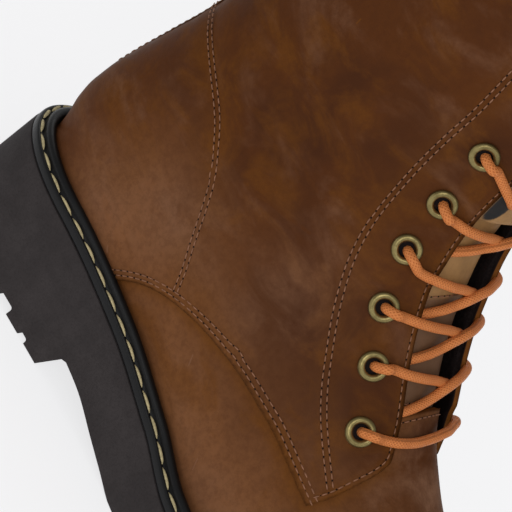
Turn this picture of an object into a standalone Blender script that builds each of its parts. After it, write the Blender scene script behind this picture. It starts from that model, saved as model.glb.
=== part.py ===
"""Right lace up ankle boot on its sole, in metres: toe along +X, outer side along -Y, up along +Z.

Every surface comes from one form of the last: a fan of slices that stand upright through the forefoot
and turn about a pivot in front of the instep, until they lie level at the collar.
"""

import math
from collections import namedtuple

import bmesh
import bpy
import numpy as np
from mathutils import Matrix, Vector

MM = 0.001

# Driving dimensions
outsole_length = 276 * MM
last_width = 80 * MM  # across the ball, where the upper meets the welt
boot_height = 206 * MM
heel_top = 34 * MM  # top of the sole's side at the heel
forefoot_top = 16.6 * MM  # the same at the ball
toe_spring = 9 * MM
welt_reach = 7.1 * MM  # how far the sole stands out from the upper
welt_height = 3 * MM
welt_inner_reach = 2.2 * MM
bead_radius = 1.75 * MM
bead_proud = 0.6  # of its radius, that its middle stands over the ledge
bead_gap = 1.1 * MM  # from the feather, because the upper leans out over it
clearance = 0.3 * MM

# The leather
wall = 1.8 * MM  # vamp and lining
overlay = 1 * MM  # how far the quarters stand out from the vamp
overlay_seat = 0.9 * MM  # how deep the quarters' form reaches into the wall
tongue_thickness = 3.4 * MM
tongue_gap = 0.7 * MM  # under the facings
tongue_rise = 7 * MM  # above the collar
tongue_half_width = 30 * MM
throat_gap = 32 * MM  # between the facings' edges
backstay_thickness = 1.2 * MM
backstay_half_width = 10 * MM
keeper_thickness = 1.3 * MM
keeper_half_width = 9.5 * MM

# The sole
heel_length = 70.6 * MM
breast_rise = 10 * MM
breast_lean = 4.5 * MM
shank_end = 121 * MM
wide_notch, deep_notch = 7.4 * MM, 3.3 * MM
narrow_notch, shallow_notch = 3.8 * MM, 2.1 * MM
notch_pitch = 25 * MM
notch_reach = 12 * MM  # in from the sole's edge
last_wide_notch = 45.4 * MM  # the foremost on the heel
last_narrow_notch = 59.7 * MM
first_tread_notch = 134 * MM
tread_groove_after = 14.3 * MM  # from a wide notch to the groove behind it
tread_end = 246 * MM
insole_thickness = 2.2 * MM
insole_gap = 0.8 * MM  # round it, where the upper curves in

# The lacing
lace_radius = 1.9 * MM
eyelet_radius = 4.75 * MM
eyelet_hole = 2.4 * MM
eyelet_barrel = 2.9 * MM
eyelet_dome = 1.3 * MM
eyelet_depth = 1.7 * MM  # of its barrel in the leather
eyelet_seat = 0.8 * MM  # under the flange's rim, where the instep is hollow
frame_turn = 0.035  # how far each way an eyelet's tilt is measured
lace_lift = 0.5 * MM  # of a lace's end over its eyelet
cross_lift, cross_at, cross_width = 1.6, 0.28, 0.45  # lace radii, shares of the eyelet aside

# The form's own proportions
pivot_along = 0.68  # of the outsole's length
heel_round, heel_power = 0.132, 2.35  # share of the last that rounds off, and how squarely
toe_round, toe_power = 0.26, 2.25
toe_turn = 0.055  # how far the toe turns inward, of the last's width
toe_turn_start = 0.6  # of the last's length
toe_lift_start = 0.74  # of the outsole's length
edge_limit = 0.6  # of a slice's half width, for the throat's columns
foot_limit = 0.985  # the same, for the feather
vamp_edge_turn = 0.213  # where the vamp's throat edge crosses the tongue
tongue_start_turn = 0.13
quarter_start = 0.68  # foremost slice of the quarters' form, of the outsole's length
vamp_drop = 0.007  # in stations, of the vamp's form under the collar
KEEPER_TURNS = (0.552, 0.558, 0.566, 0.630, 0.645, 0.690)  # seams, then the arch between them
backstay_stations = (1.16, 1.985)

PlanRow = namedtuple("PlanRow", "along lateral medial")
PLAN = [  # half widths of the feather, of the last's width
    PlanRow(0.000, 0.325, 0.325),
    PlanRow(0.117, 0.340, 0.331),
    PlanRow(0.244, 0.345, 0.319),
    PlanRow(0.390, 0.378, 0.315),
    PlanRow(0.517, 0.475, 0.363),
    PlanRow(0.644, 0.521, 0.450),
    PlanRow(0.770, 0.510, 0.481),
    PlanRow(0.890, 0.445, 0.450),
    PlanRow(1.000, 0.385, 0.415),
]

TopRow = namedtuple("TopRow", "along rise")
SOLE_TOP = [  # from the ball's height, 0, to the heel's, 1
    TopRow(0.000, 1.00),
    TopRow(0.136, 0.96),
    TopRow(0.281, 0.70),
    TopRow(0.390, 0.33),
    TopRow(0.480, 0.04),
    TopRow(0.600, 0.00),
    TopRow(1.000, 0.00),
]

ShankRow = namedtuple("ShankRow", "along rise")
SHANK = [  # underside from the heel breast to the ground
    ShankRow(0.00, 1.00),
    ShankRow(0.22, 0.87),
    ShankRow(0.55, 0.48),
    ShankRow(0.80, 0.20),
    ShankRow(1.00, 0.00),
]

SideRow = namedtuple("SideRow", "along up")
RIDGE = [  # toe to collar, of the outsole's length and the boot's height
    SideRow(0.966, 0.175),
    SideRow(0.942, 0.211),
    SideRow(0.899, 0.243),
    SideRow(0.833, 0.274),
    SideRow(0.761, 0.301),
    SideRow(0.681, 0.333),
    SideRow(0.627, 0.362),
    SideRow(0.595, 0.385),
    SideRow(0.557, 0.417),
    SideRow(0.519, 0.468),
    SideRow(0.491, 0.509),
    SideRow(0.462, 0.561),
    SideRow(0.424, 0.658),
    SideRow(0.406, 0.762),
    SideRow(0.394, 0.874),
    SideRow(0.386, 1.000),
]
QUARTER_FOOT = [  # the quarters' lower edge, from the welt to their front corner
    SideRow(0.205, 0.100),
    SideRow(0.227, 0.168),
    SideRow(0.266, 0.226),
    SideRow(0.309, 0.255),
    SideRow(0.360, 0.273),
    SideRow(0.412, 0.281),
    SideRow(0.465, 0.280),
    SideRow(0.512, 0.272),
    SideRow(0.562, 0.263),
]
FACING_FRONT = [  # from that corner round to the facings' edge
    SideRow(0.562, 0.263),
    SideRow(0.569, 0.303),
    SideRow(0.570, 0.348),
    SideRow(0.566, 0.372),
    SideRow(0.557, 0.391),
    SideRow(0.546, 0.406),
    SideRow(0.600, 0.480),
]

BackRow = namedtuple("BackRow", "up along")
BACK = [  # heel to collar, up in shares from the feather
    BackRow(0.000, 0.0257),
    BackRow(0.030, 0.0202),
    BackRow(0.065, 0.0122),
    BackRow(0.107, 0.0078),
    BackRow(0.148, 0.0076),
    BackRow(0.195, 0.0101),
    BackRow(0.284, 0.0178),
    BackRow(0.373, 0.0257),
    BackRow(0.432, 0.0286),
    BackRow(0.521, 0.0312),
    BackRow(0.669, 0.0293),
    BackRow(0.817, 0.0239),
    BackRow(1.000, 0.0203),
]

GirthRow = namedtuple("GirthRow", "turn lateral medial widest front_power foot_power")
GIRTH = [  # half widths of the last's width; turn is -1 at the toe, 0 upright at the pivot, 1 at the collar
    GirthRow(-1.00, 0.394, 0.431, 0.75, 2.00, 2.4),
    GirthRow(-0.75, 0.458, 0.468, 0.77, 1.95, 2.4),
    GirthRow(-0.50, 0.514, 0.500, 0.78, 1.90, 2.4),
    GirthRow(-0.25, 0.540, 0.504, 0.79, 1.82, 2.4),
    GirthRow(0.00, 0.536, 0.476, 0.80, 1.78, 2.4),
    GirthRow(0.11, 0.502, 0.424, 0.78, 1.85, 2.4),
    GirthRow(0.22, 0.453, 0.385, 0.72, 1.95, 2.4),
    GirthRow(0.33, 0.426, 0.380, 0.62, 2.05, 2.4),
    GirthRow(0.44, 0.419, 0.394, 0.54, 2.10, 2.4),
    GirthRow(0.53, 0.413, 0.400, 0.50, 2.10, 2.5),
    GirthRow(0.67, 0.419, 0.415, 0.48, 2.10, 2.3),
    GirthRow(0.78, 0.425, 0.425, 0.47, 2.10, 2.1),
    GirthRow(1.00, 0.456, 0.456, 0.47, 2.10, 2.05),
]

EyeletRow = namedtuple("EyeletRow", "turn aside")
EYELETS = [  # from the vamp to the collar; aside from the middle, of the last's width
    EyeletRow(0.207, 0.305),
    EyeletRow(0.296, 0.291),
    EyeletRow(0.384, 0.296),
    EyeletRow(0.477, 0.282),
    EyeletRow(0.565, 0.268),
    EyeletRow(0.675, 0.290),
    EyeletRow(0.790, 0.286),
    EyeletRow(0.912, 0.286),
]

TipRow = namedtuple("TipRow", "rise width")
TONGUE_TIP = [TipRow(0.5, 0.97), TipRow(0.85, 0.88), TipRow(1.0, 0.72)]  # rounds the tongue's corners

# Mesh fineness
feather_steps = 20
back_steps = 9
throat_columns, facing_columns, side_columns = 2, 5, 5
outline_steps = 34
eyelet_sides, lace_sides, lace_steps = 8, 6, 11
first_station = 0.03  # the toe's cap closes ahead of it

last_back = welt_reach
last_front = outsole_length - welt_reach
pivot_x = pivot_along * outsole_length
pivot_z = boot_height
half_gap = throat_gap / 2
LATERAL, MEDIAL = -1, 1


def smooth(rows, column, at):
    """Monotone cubic through one column of a table whose first column is the place along it."""
    xs = np.array([row[0] for row in rows], dtype=float)
    ys = np.array([getattr(row, column) for row in rows], dtype=float)
    step = np.diff(xs)
    slope = np.diff(ys) / step
    lean = np.zeros_like(ys)
    lean[0], lean[-1] = slope[0], slope[-1]
    for i in range(1, len(xs) - 1):
        if slope[i - 1] * slope[i] > 0:
            before = 2 * step[i] + step[i - 1]
            after = step[i] + 2 * step[i - 1]
            lean[i] = (before + after) / (before / slope[i - 1] + after / slope[i])
    at = np.clip(at, xs[0], xs[-1])
    i = np.clip(np.searchsorted(xs, at, side="right") - 1, 0, len(step) - 1)
    t = (at - xs[i]) / step[i]
    start = (1 + 2 * t) * (1 - t) ** 2 * ys[i] + t * (1 - t) ** 2 * step[i] * lean[i]
    end = t * t * (3 - 2 * t) * ys[i + 1] + t * t * (t - 1) * step[i] * lean[i + 1]
    return start + end


RunRow = namedtuple("RunRow", "run x z")


def side_curve(points, count):
    """Smooth curve through side view points: two arrays, x and z."""
    points = np.array(points)
    run = np.concatenate([[0], np.cumsum(np.hypot(*np.diff(points, axis=0).T))])
    rows = [RunRow(r, x, z) for r, (x, z) in zip(run, points)]
    at = np.linspace(0, run[-1], count)
    return smooth(rows, "x", at), smooth(rows, "z", at)


def in_metres(rows):
    return [(row.along * outsole_length, row.up * boot_height) for row in rows]


# The last in plan


def round_ends(share):
    heel = np.clip(1 - share / heel_round, 0, 1)
    toe = np.clip((share - 1) / toe_round + 1, 0, 1)
    return (1 - heel**heel_power) ** (1 / heel_power) * (1 - toe**toe_power) ** (1 / toe_power)


def share_along(x, inset=0.0):
    start, end = last_back + inset, last_front - inset
    return np.clip((x - start) / (end - start), 0, 1)


def centre_y(x):
    toward_toe = np.clip((share_along(x) - toe_turn_start) / (1 - toe_turn_start), 0, 1)
    return toe_turn * last_width * toward_toe**2


def feather_half(x, side, inset=0.0):
    share = share_along(x, inset)
    column = "lateral" if side == LATERAL else "medial"
    return (smooth(PLAN, column, share) * last_width - inset) * round_ends(share)


def outline(distance, steps=outline_steps):
    """Ring outside the feather by distance: from the heel along the lateral side, then back."""
    x = last_back + (last_front - last_back) * (1 - np.cos(np.pi * np.arange(steps + 1) / steps)) / 2
    middle = centre_y(x)
    lateral = np.stack([x, middle - feather_half(x, LATERAL)], axis=1)
    medial = np.stack([x, middle + feather_half(x, MEDIAL)], axis=1)[::-1]
    ring = np.concatenate([lateral, medial[1:-1]])
    along = np.roll(ring, -1, axis=0) - np.roll(ring, 1, axis=0)
    along /= np.linalg.norm(along, axis=1)[:, None]
    return ring + np.stack([along[:, 1], -along[:, 0]], axis=1) * distance


# The last from the side


def toe_lift(x):
    return toe_spring * np.clip((x / outsole_length - toe_lift_start) / (1 - toe_lift_start), 0, None) ** 2


def sole_top(x):
    rise = smooth(SOLE_TOP, "rise", x / outsole_length)
    return forefoot_top + (heel_top - forefoot_top) * rise + toe_lift(x)


def feather_z(x):
    return sole_top(x) + welt_height


ridge_x, ridge_z = side_curve([(last_front, feather_z(last_front))] + in_metres(RIDGE), 200)


def base_point(station):
    """Where a slice ends, in side view: 0 to 1 along the feather from toe to heel, 1 to 2 up the back."""
    if station <= 1:
        x = last_back + (last_front - last_back) * (1 + math.cos(math.pi * station)) / 2
        return x, float(feather_z(x))
    foot = float(feather_z(last_back))
    up = station - 1
    return float(smooth(BACK, "along", up)) * outsole_length, foot + (boot_height - foot) * up


def turn_of(x, z):
    if x >= pivot_x:
        return -(x - pivot_x) / (last_front - pivot_x)
    return math.atan2(pivot_x - x, pivot_z - z) / (math.pi / 2)


behind = ridge_x < pivot_x
ridge_turn = np.array([turn_of(x, z) for x, z in zip(ridge_x[behind], ridge_z[behind])])
ridge_reach = np.hypot(pivot_x - ridge_x[behind], pivot_z - ridge_z[behind])
stations = np.linspace(0, 2.1, 841)
station_turns = np.array([turn_of(*base_point(station)) for station in stations])
fan = station_turns >= 0


def station_at(turn):
    return float(np.interp(turn, station_turns[fan], stations[fan]))


Slice = namedtuple("Slice", "x z way_x way_z start end wide foot widest front_power foot_power")


def slice_at(station, inset=0.0, foot_inset=None, rise=clearance):
    """One slice of the last, moved in by inset. wide and foot hold its lateral and medial half width."""
    if foot_inset is None:
        foot_inset = inset
    outer_x, z = base_point(station)
    turn = turn_of(outer_x, z)
    x = outer_x
    if station <= 1:
        x += inset * (1 - 2 * float(share_along(outer_x)))
        z = float(feather_z(x)) + rise
    if turn < 0:
        top, way = (x, pivot_z), (0.0, -1.0)
        start = pivot_z - float(np.interp(outer_x, ridge_x[::-1], ridge_z[::-1])) + inset
        end = pivot_z - z
    else:
        reach = math.hypot(x - pivot_x, z - pivot_z)
        top, way = (pivot_x, pivot_z), ((x - pivot_x) / reach, (z - pivot_z) / reach)
        start = float(np.interp(turn_of(x, z), ridge_turn, ridge_reach)) + inset
        end = reach if station <= 1 else reach - inset
    toe = float(round_ends(share_along(outer_x))) if turn < 0 else 1.0
    wide, foot = [], []
    for side, column in ((LATERAL, "lateral"), (MEDIAL, "medial")):
        half = float(smooth(GIRTH, column, turn)) * last_width * toe - inset
        wide.append(half)
        at_feather = min(float(feather_half(x, side, foot_inset)), foot_limit * half)
        foot.append(at_feather if station <= 1 else 0.0)
    shape = [float(smooth(GIRTH, column, turn)) for column in ("widest", "front_power", "foot_power")]
    return Slice(*top, *way, start, end, wide, foot, *shape)


def place(cut, share, y):
    reach = cut.start + (cut.end - cut.start) * share
    x = cut.x + cut.way_x * reach
    return Vector((x, y + float(centre_y(x)), cut.z + cut.way_z * reach))


def index(side):
    return 0 if side == LATERAL else 1


def front_angle(cut, side, aside):
    return math.asin(min(1.0, (aside / cut.wide[index(side)]) ** (cut.front_power / 2)))


def front_point(cut, side, angle):
    """From the ridge, angle 0, to where the slice is widest, a right angle."""
    share = cut.widest * (1 - math.cos(angle) ** (2 / cut.front_power))
    return place(cut, share, side * cut.wide[index(side)] * math.sin(angle) ** (2 / cut.front_power))


def foot_point(cut, side, part):
    """From where the slice is widest, part 0, to the feather or the back seam, part 1."""
    wide, foot = cut.wide[index(side)], cut.foot[index(side)]
    last = math.acos((foot / wide) ** (cut.foot_power / 2))
    angle = part * last
    share = cut.widest + (1 - cut.widest) * (math.sin(angle) / math.sin(last)) ** (2 / cut.foot_power)
    return place(cut, share, side * wide * math.cos(angle) ** (2 / cut.foot_power))


def over_instep(turn, aside, inset):
    """Point on the form's front, aside from the middle (minus on the lateral side)."""
    cut = slice_at(station_at(turn), inset)
    side = LATERAL if aside < 0 else MEDIAL
    return front_point(cut, side, front_angle(cut, side, abs(aside)))


# Building meshes


def new_object(name, bm, material, smooth_faces=True):
    bmesh.ops.recalc_face_normals(bm, faces=bm.faces)
    mesh = bpy.data.meshes.new(name)
    bm.to_mesh(mesh)
    bm.free()
    for polygon in mesh.polygons:
        polygon.use_smooth = smooth_faces
    part = bpy.data.objects.new(name, mesh)
    bpy.context.collection.objects.link(part)
    if material:
        mesh.materials.append(material)
    return part


def hide_cutter(cutter):
    cutter.hide_render = True
    cutter.display_type = "WIRE"


def combine(part, other, operation, name):
    modifier = part.modifiers.new(name, "BOOLEAN")
    modifier.object = other
    modifier.operation = operation
    modifier.solver = "EXACT"
    hide_cutter(other)
    return modifier


def make_material(name, colour, roughness, metallic=0.0):
    material = bpy.data.materials.new(name)
    material.use_nodes = True
    shader = material.node_tree.nodes["Principled BSDF"]
    shader.inputs["Base Color"].default_value = (*colour, 1.0)
    shader.inputs["Roughness"].default_value = roughness
    shader.inputs["Metallic"].default_value = metallic
    return material


def bridge(bm, one, other, closed=False):
    """Quads between two rows of vertices, left out where they would have no area."""
    count = len(one)
    for i in range(count if closed else count - 1):
        j = (i + 1) % count
        corners = [one[i], one[j], other[j], other[i]]
        corners = [v for k, v in enumerate(corners) if v not in corners[:k]]
        if len(corners) > 2:
            bm.faces.new(corners)


def extruded(name, points, half_depth):
    """Side view polygon drawn out across the boot."""
    bm = bmesh.new()
    rows = [[bm.verts.new((x, y, z)) for x, z in points] for y in (-half_depth, half_depth)]
    bridge(bm, rows[0], rows[1], closed=True)
    for row in rows:
        bm.faces.new(row)
    return new_object(name, bm, None)


def skin(bm, cuts, edge_aside):
    """Grid of one surface: a dictionary for each slice, from column, 0 at the ridge, to vertex."""
    rows = []
    width = throat_columns + facing_columns + side_columns
    for station, cut in cuts:
        row = {0: bm.verts.new(place(cut, 0.0, 0.0))}
        for side in (LATERAL, MEDIAL):
            edge = front_angle(cut, side, min(edge_aside, edge_limit * cut.wide[index(side)]))
            for i in range(1, throat_columns + 1):
                row[side * i] = bm.verts.new(front_point(cut, side, edge * i / throat_columns))
            for i in range(1, facing_columns + 1):
                angle = edge + (math.pi / 2 - edge) * i / facing_columns
                row[side * (throat_columns + i)] = bm.verts.new(front_point(cut, side, angle))
            for i in range(1, side_columns + 1):
                column = side * (throat_columns + facing_columns + i)
                if side == MEDIAL and station >= 1 and i == side_columns:
                    row[column] = row[-column]
                else:
                    row[column] = bm.verts.new(foot_point(cut, side, i / side_columns))
        rows.append(row)
    return rows, width


def shell(name, outer_inset, inner_inset, foot_inset, rise, row_stations, gap, throat_from, material):
    """Hollow form between two insets, open underneath, at the collar and, from one station on, the throat."""
    bm = bmesh.new()
    outer_cuts = [(s, slice_at(s, outer_inset, foot_inset, rise)) for s in row_stations]
    inner_cuts = [(s, slice_at(s, inner_inset, None, rise)) for s in row_stations]
    outer, width = skin(bm, outer_cuts, gap)
    inner, _ = skin(bm, inner_cuts, gap)
    first_open = next(i for i, s in enumerate(row_stations) if s >= throat_from)
    columns = list(range(-width, width + 1))
    facings = [columns[: width - throat_columns + 1], columns[width + throat_columns :]]
    for i in range(len(row_stations) - 1):
        spans = [columns] if i < first_open else facings
        for rows in (outer, inner):
            for span in spans:
                bridge(bm, [rows[i][c] for c in span], [rows[i + 1][c] for c in span])
        if row_stations[i] < 1:
            for c in (-width, width):
                bridge(bm, [outer[i][c], outer[i + 1][c]], [inner[i][c], inner[i + 1][c]])
        if i >= first_open:
            for c in (-throat_columns, throat_columns):
                bridge(bm, [outer[i][c], outer[i + 1][c]], [inner[i][c], inner[i + 1][c]])
    for span in facings:
        bridge(bm, [outer[-1][c] for c in span], [inner[-1][c] for c in span])
    if first_open:
        throat = range(-throat_columns, throat_columns + 1)
        bridge(bm, [outer[first_open][c] for c in throat], [inner[first_open][c] for c in throat])
        for rows in (outer, inner):
            bm.faces.new([rows[0][c] for c in columns])
        ends = (-width, width)
        bridge(bm, [outer[0][c] for c in ends], [inner[0][c] for c in ends])
    else:
        for span in facings:
            bridge(bm, [outer[0][c] for c in span], [inner[0][c] for c in span])
    loose = [v for v in bm.verts if not v.link_faces]
    bmesh.ops.delete(bm, geom=loose, context="VERTS")
    return new_object(name, bm, material)


def patch(name, row_stations, asides, bottom_insets, thickness, material, back=False, widths=None):
    """Closed plate that follows the form: on its front, or round its back seam.

    Each row has an inset, and a share of the width where widths are given.
    """
    widths = widths or [1.0] * len(row_stations)
    bm = bmesh.new()
    layers = []
    for thinner in (thickness, 0.0):
        rows = []
        for station, inset, width in zip(row_stations, bottom_insets, widths):
            row = []
            cut = slice_at(station, inset - thinner)
            for aside in (width * aside for aside in asides):
                side = LATERAL if aside < 0 else MEDIAL
                if back:
                    wide = cut.wide[index(side)]
                    part = 1 - math.asin((abs(aside) / wide) ** (cut.foot_power / 2)) / (math.pi / 2)
                    row.append(bm.verts.new(foot_point(cut, side, part)))
                else:
                    row.append(bm.verts.new(front_point(cut, side, front_angle(cut, side, abs(aside)))))
            rows.append(row)
        layers.append(rows)
    top, bottom = layers
    for rows in layers:
        for one, other in zip(rows, rows[1:]):
            bridge(bm, one, other)
    for end in (0, -1):
        bridge(bm, top[end], bottom[end])
        bridge(bm, [row[end] for row in top], [row[end] for row in bottom])
    return new_object(name, bm, material)


# The sole


def make_outsole(material):
    bm = bmesh.new()
    ring = outline(welt_reach)
    half = len(ring) // 2
    top = [bm.verts.new((x, y, sole_top(x) - clearance)) for x, y in ring]
    bottom = [bm.verts.new((x, y, toe_lift(x))) for x, y in ring]
    bridge(bm, top, bottom, closed=True)
    for row in (top, bottom):
        lateral = row[: half + 1]
        medial = [row[0]] + row[:half - 1:-1]
        bridge(bm, lateral, medial)
    outsole = new_object("outsole", bm, material, smooth_faces=False)
    combine(outsole, shank_cutter(), "DIFFERENCE", "shank")
    combine(outsole, notch_cutter(), "DIFFERENCE", "notches")
    return outsole


def shank_cutter():
    """All under the shank, from the slanted heel breast to where the forefoot meets the ground."""
    start = heel_length + breast_lean
    below, beyond = -2 * MM, 4 * MM
    slant = breast_lean / breast_rise
    points = [(heel_length + slant * below, below)]
    for row in SHANK:
        points.append((start + row.along * (shank_end - start), row.rise * breast_rise))
    points.append((shank_end + beyond, below))
    return extruded("shank_cutter", points, last_width)


def add_box(bm, start_x, start_y, end_x, end_y, top):
    below = -3 * MM
    corners = [(start_x, start_y), (end_x, start_y), (end_x, end_y), (start_x, end_y)]
    rows = [[bm.verts.new((x, y, z)) for x, y in corners] for z in (below, top)]
    bridge(bm, rows[0], rows[1], closed=True)
    for row in rows:
        bm.faces.new(row)


def notch_cutter():
    """Wide notches in both sides and narrow grooves right across, on the heel and on the forefoot."""
    bm = bmesh.new()
    wide_at = [last_wide_notch - notch_pitch * i for i in range(2)]
    wide_at += list(np.arange(first_tread_notch, tread_end, notch_pitch))
    narrow_at = [last_narrow_notch - notch_pitch * i for i in range(3)]
    narrow_at += list(np.arange(first_tread_notch + tread_groove_after, tread_end, notch_pitch))
    for x in wide_at:
        middle = x + wide_notch / 2
        top = float(toe_lift(middle)) + deep_notch
        for side in (LATERAL, MEDIAL):
            reach = float(feather_half(middle, side)) + welt_reach - notch_reach
            edge = float(centre_y(middle)) + side * reach
            ends = sorted((edge, side * last_width))
            add_box(bm, x, ends[0], x + wide_notch, ends[1], top)
    for x in narrow_at:
        top = float(toe_lift(x + narrow_notch / 2)) + shallow_notch
        add_box(bm, x, -last_width, x + narrow_notch, last_width, top)
    return new_object("notch_cutter", bm, None)


def ring_solid(name, profile, material):
    """Closed profile of (distance from the feather, height above the sole's top) run round the boot."""
    bm = bmesh.new()
    rings = []
    for distance, height in profile:
        rings.append([bm.verts.new((x, y, float(sole_top(x)) + height)) for x, y in outline(distance)])
    for one, other in zip(rings, rings[1:] + rings[:1]):
        bridge(bm, one, other, closed=True)
    return new_object(name, bm, material)


def make_welt(material):
    """Ledge with a stitch groove, and the bead that closes the joint to the upper."""
    centre = bead_gap + bead_radius
    bead = []
    for angle in (150, 90, 30):
        turn = math.radians(angle)
        height = welt_height + bead_radius * (bead_proud + math.sin(turn))
        bead.append((centre + bead_radius * math.cos(turn), height))
    profile = [(-welt_inner_reach, 0), (-welt_inner_reach, welt_height), (bead_gap, welt_height)]
    profile += bead
    profile += [
        (centre + 1.2 * bead_radius, 0.80 * welt_height),
        (0.84 * welt_reach, 0.95 * welt_height),
        (0.97 * welt_reach, 0.70 * welt_height),
        (0.98 * welt_reach, 0),
    ]
    return ring_solid("welt", profile, material)


def make_insole(material):
    bm = bmesh.new()
    ring = outline(-welt_inner_reach - insole_gap)
    half = len(ring) // 2
    bottom = [bm.verts.new((x, y, sole_top(x))) for x, y in ring]
    top = [bm.verts.new((x, y, feather_z(x) + insole_thickness)) for x, y in ring]
    bridge(bm, top, bottom, closed=True)
    for row in (top, bottom):
        bridge(bm, row[: half + 1], [row[0]] + row[:half - 1:-1])
    return new_object("insole", bm, material, smooth_faces=False)


# The upper


def upper_stations():
    """Slices from the toe to the collar, with one at the vamp's throat edge."""
    feather = [first_station + (1 - first_station) * i / feather_steps for i in range(feather_steps + 1)]
    back = [1 + i / back_steps for i in range(1, back_steps + 1)]
    throat = station_at(vamp_edge_turn)
    nearest = min(range(len(feather)), key=lambda i: abs(feather[i] - throat))
    feather[nearest] = throat
    return feather + back, throat


def quarter_cutter():
    """Side view outline that keeps the quarters of their form."""
    foot = list(zip(*side_curve(in_metres(QUARTER_FOOT), 15)))
    front = list(zip(*side_curve(in_metres(FACING_FRONT[:-1]), 9)))
    top, back = 1.2 * boot_height, -0.1 * outsole_length
    corner = in_metres(FACING_FRONT[-1:])
    points = foot + front[1:] + corner + [(corner[0][0], top), (back, top), (back, foot[0][1])]
    return extruded("quarter_cutter", points, last_width)


def eyelet_frame(row, side):
    """Matrix at an eyelet: z out of the leather."""
    aside = side * row.aside * last_width
    at = over_instep(row.turn, aside, -overlay)
    below, above = row.turn - frame_turn, row.turn + frame_turn
    up = over_instep(above, aside, -overlay) - over_instep(below, aside, -overlay)
    inner, outer = aside - side * eyelet_radius, aside + side * eyelet_radius
    across = over_instep(row.turn, inner, -overlay) - over_instep(row.turn, outer, -overlay)
    outward = up.cross(across).normalized()
    if outward.y * side < 0:
        outward.negate()
    across = (across - outward * across.dot(outward)).normalized()
    upward = outward.cross(across)
    frame = Matrix((across, upward, outward)).transposed().to_4x4()
    frame.translation = at
    return frame


def hole_cutter():
    bm = bmesh.new()
    radius = eyelet_barrel + clearance
    for row in EYELETS:
        for side in (LATERAL, MEDIAL):
            bmesh.ops.create_cone(
                bm, cap_ends=True, segments=eyelet_sides, radius1=radius, radius2=radius,
                depth=4 * (wall + overlay), matrix=eyelet_frame(row, side),
            )
    return new_object("hole_cutter", bm, None)


def make_upper(material):
    """One wall: the vamp's form, and the quarters standing out from it along their own edge."""
    rows, throat = upper_stations()
    vamp_rows = rows[:-1] + [rows[-1] - vamp_drop]
    upper = shell("upper", 0, wall, 0, clearance, vamp_rows, half_gap + clearance, throat, material)
    first = next(i for i, s in enumerate(rows) if base_point(s)[0] < quarter_start * outsole_length)
    quarters = shell(
        "quarter_form", -overlay, overlay_seat, -clearance / 2, 2 * clearance,
        rows[first:], half_gap, 0, None,
    )
    combine(quarters, quarter_cutter(), "INTERSECT", "outline")
    combine(upper, quarters, "UNION", "quarters")
    combine(upper, hole_cutter(), "DIFFERENCE", "eyelet_holes")
    return upper


def make_tongue(material):
    """Padded leather under the facings, from inside the vamp to above the collar."""
    start, rise = station_at(tongue_start_turn), tongue_rise / (boot_height - heel_top - welt_height)
    rows = [start] + [station for station in upper_stations()[0] if station > start]
    widths = [1.0] * len(rows) + [row.width for row in TONGUE_TIP]
    rows += [2 + row.rise * rise for row in TONGUE_TIP]
    asides = [tongue_half_width * share for share in (-1, -0.75, -0.5, -0.25, 0, 0.25, 0.5, 0.75, 1)]
    bottom = wall + tongue_gap + tongue_thickness
    return patch("tongue", rows, asides, [bottom] * len(rows), tongue_thickness, material, widths=widths)


def make_keeper(material):
    """Leather loop on the tongue, arched over the laces that cross under it."""
    rows = [station_at(turn) for turn in KEEPER_TURNS]
    asides = [keeper_half_width * share for share in (-1, -0.5, 0, 0.5, 1)]
    seat = wall + tongue_gap - clearance
    arch = seat - 2 * lace_radius - 2 * clearance
    insets = [seat, seat, arch, arch, seat, seat]
    return patch("lace_keeper", rows, asides, insets, keeper_thickness, material)


def make_backstay(material):
    """Strip over the back seam, widening towards the collar."""
    rows = list(np.linspace(*backstay_stations, 9))
    asides = [backstay_half_width * share for share in (-1, -0.5, 0, 0.5, 1)]
    bottom = -overlay - clearance
    return patch("backstay", rows, asides, [bottom] * len(rows), backstay_thickness, material, back=True)


# The lacing


def make_eyelet(name, frame, material):
    """Turned ring with a domed flange and a barrel through the leather."""
    seat = eyelet_seat
    profile = [
        (eyelet_barrel, -eyelet_depth),
        (eyelet_barrel, seat),
        (eyelet_radius, seat),
        (0.8 * (eyelet_radius - eyelet_hole) + eyelet_hole, seat + 0.75 * eyelet_dome),
        (0.45 * (eyelet_radius - eyelet_hole) + eyelet_hole, seat + eyelet_dome),
        (eyelet_hole, seat + 0.5 * eyelet_dome),
        (eyelet_hole, -eyelet_depth),
    ]
    bm = bmesh.new()
    rings = []
    for radius, height in profile:
        around = [2 * math.pi * i / eyelet_sides for i in range(eyelet_sides)]
        points = [Vector((radius * math.cos(a), radius * math.sin(a), height)) for a in around]
        rings.append([bm.verts.new(frame @ point) for point in points])
    for one, other in zip(rings, rings[1:] + rings[:1]):
        bridge(bm, one, other, closed=True)
    return new_object(name, bm, material)


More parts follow.
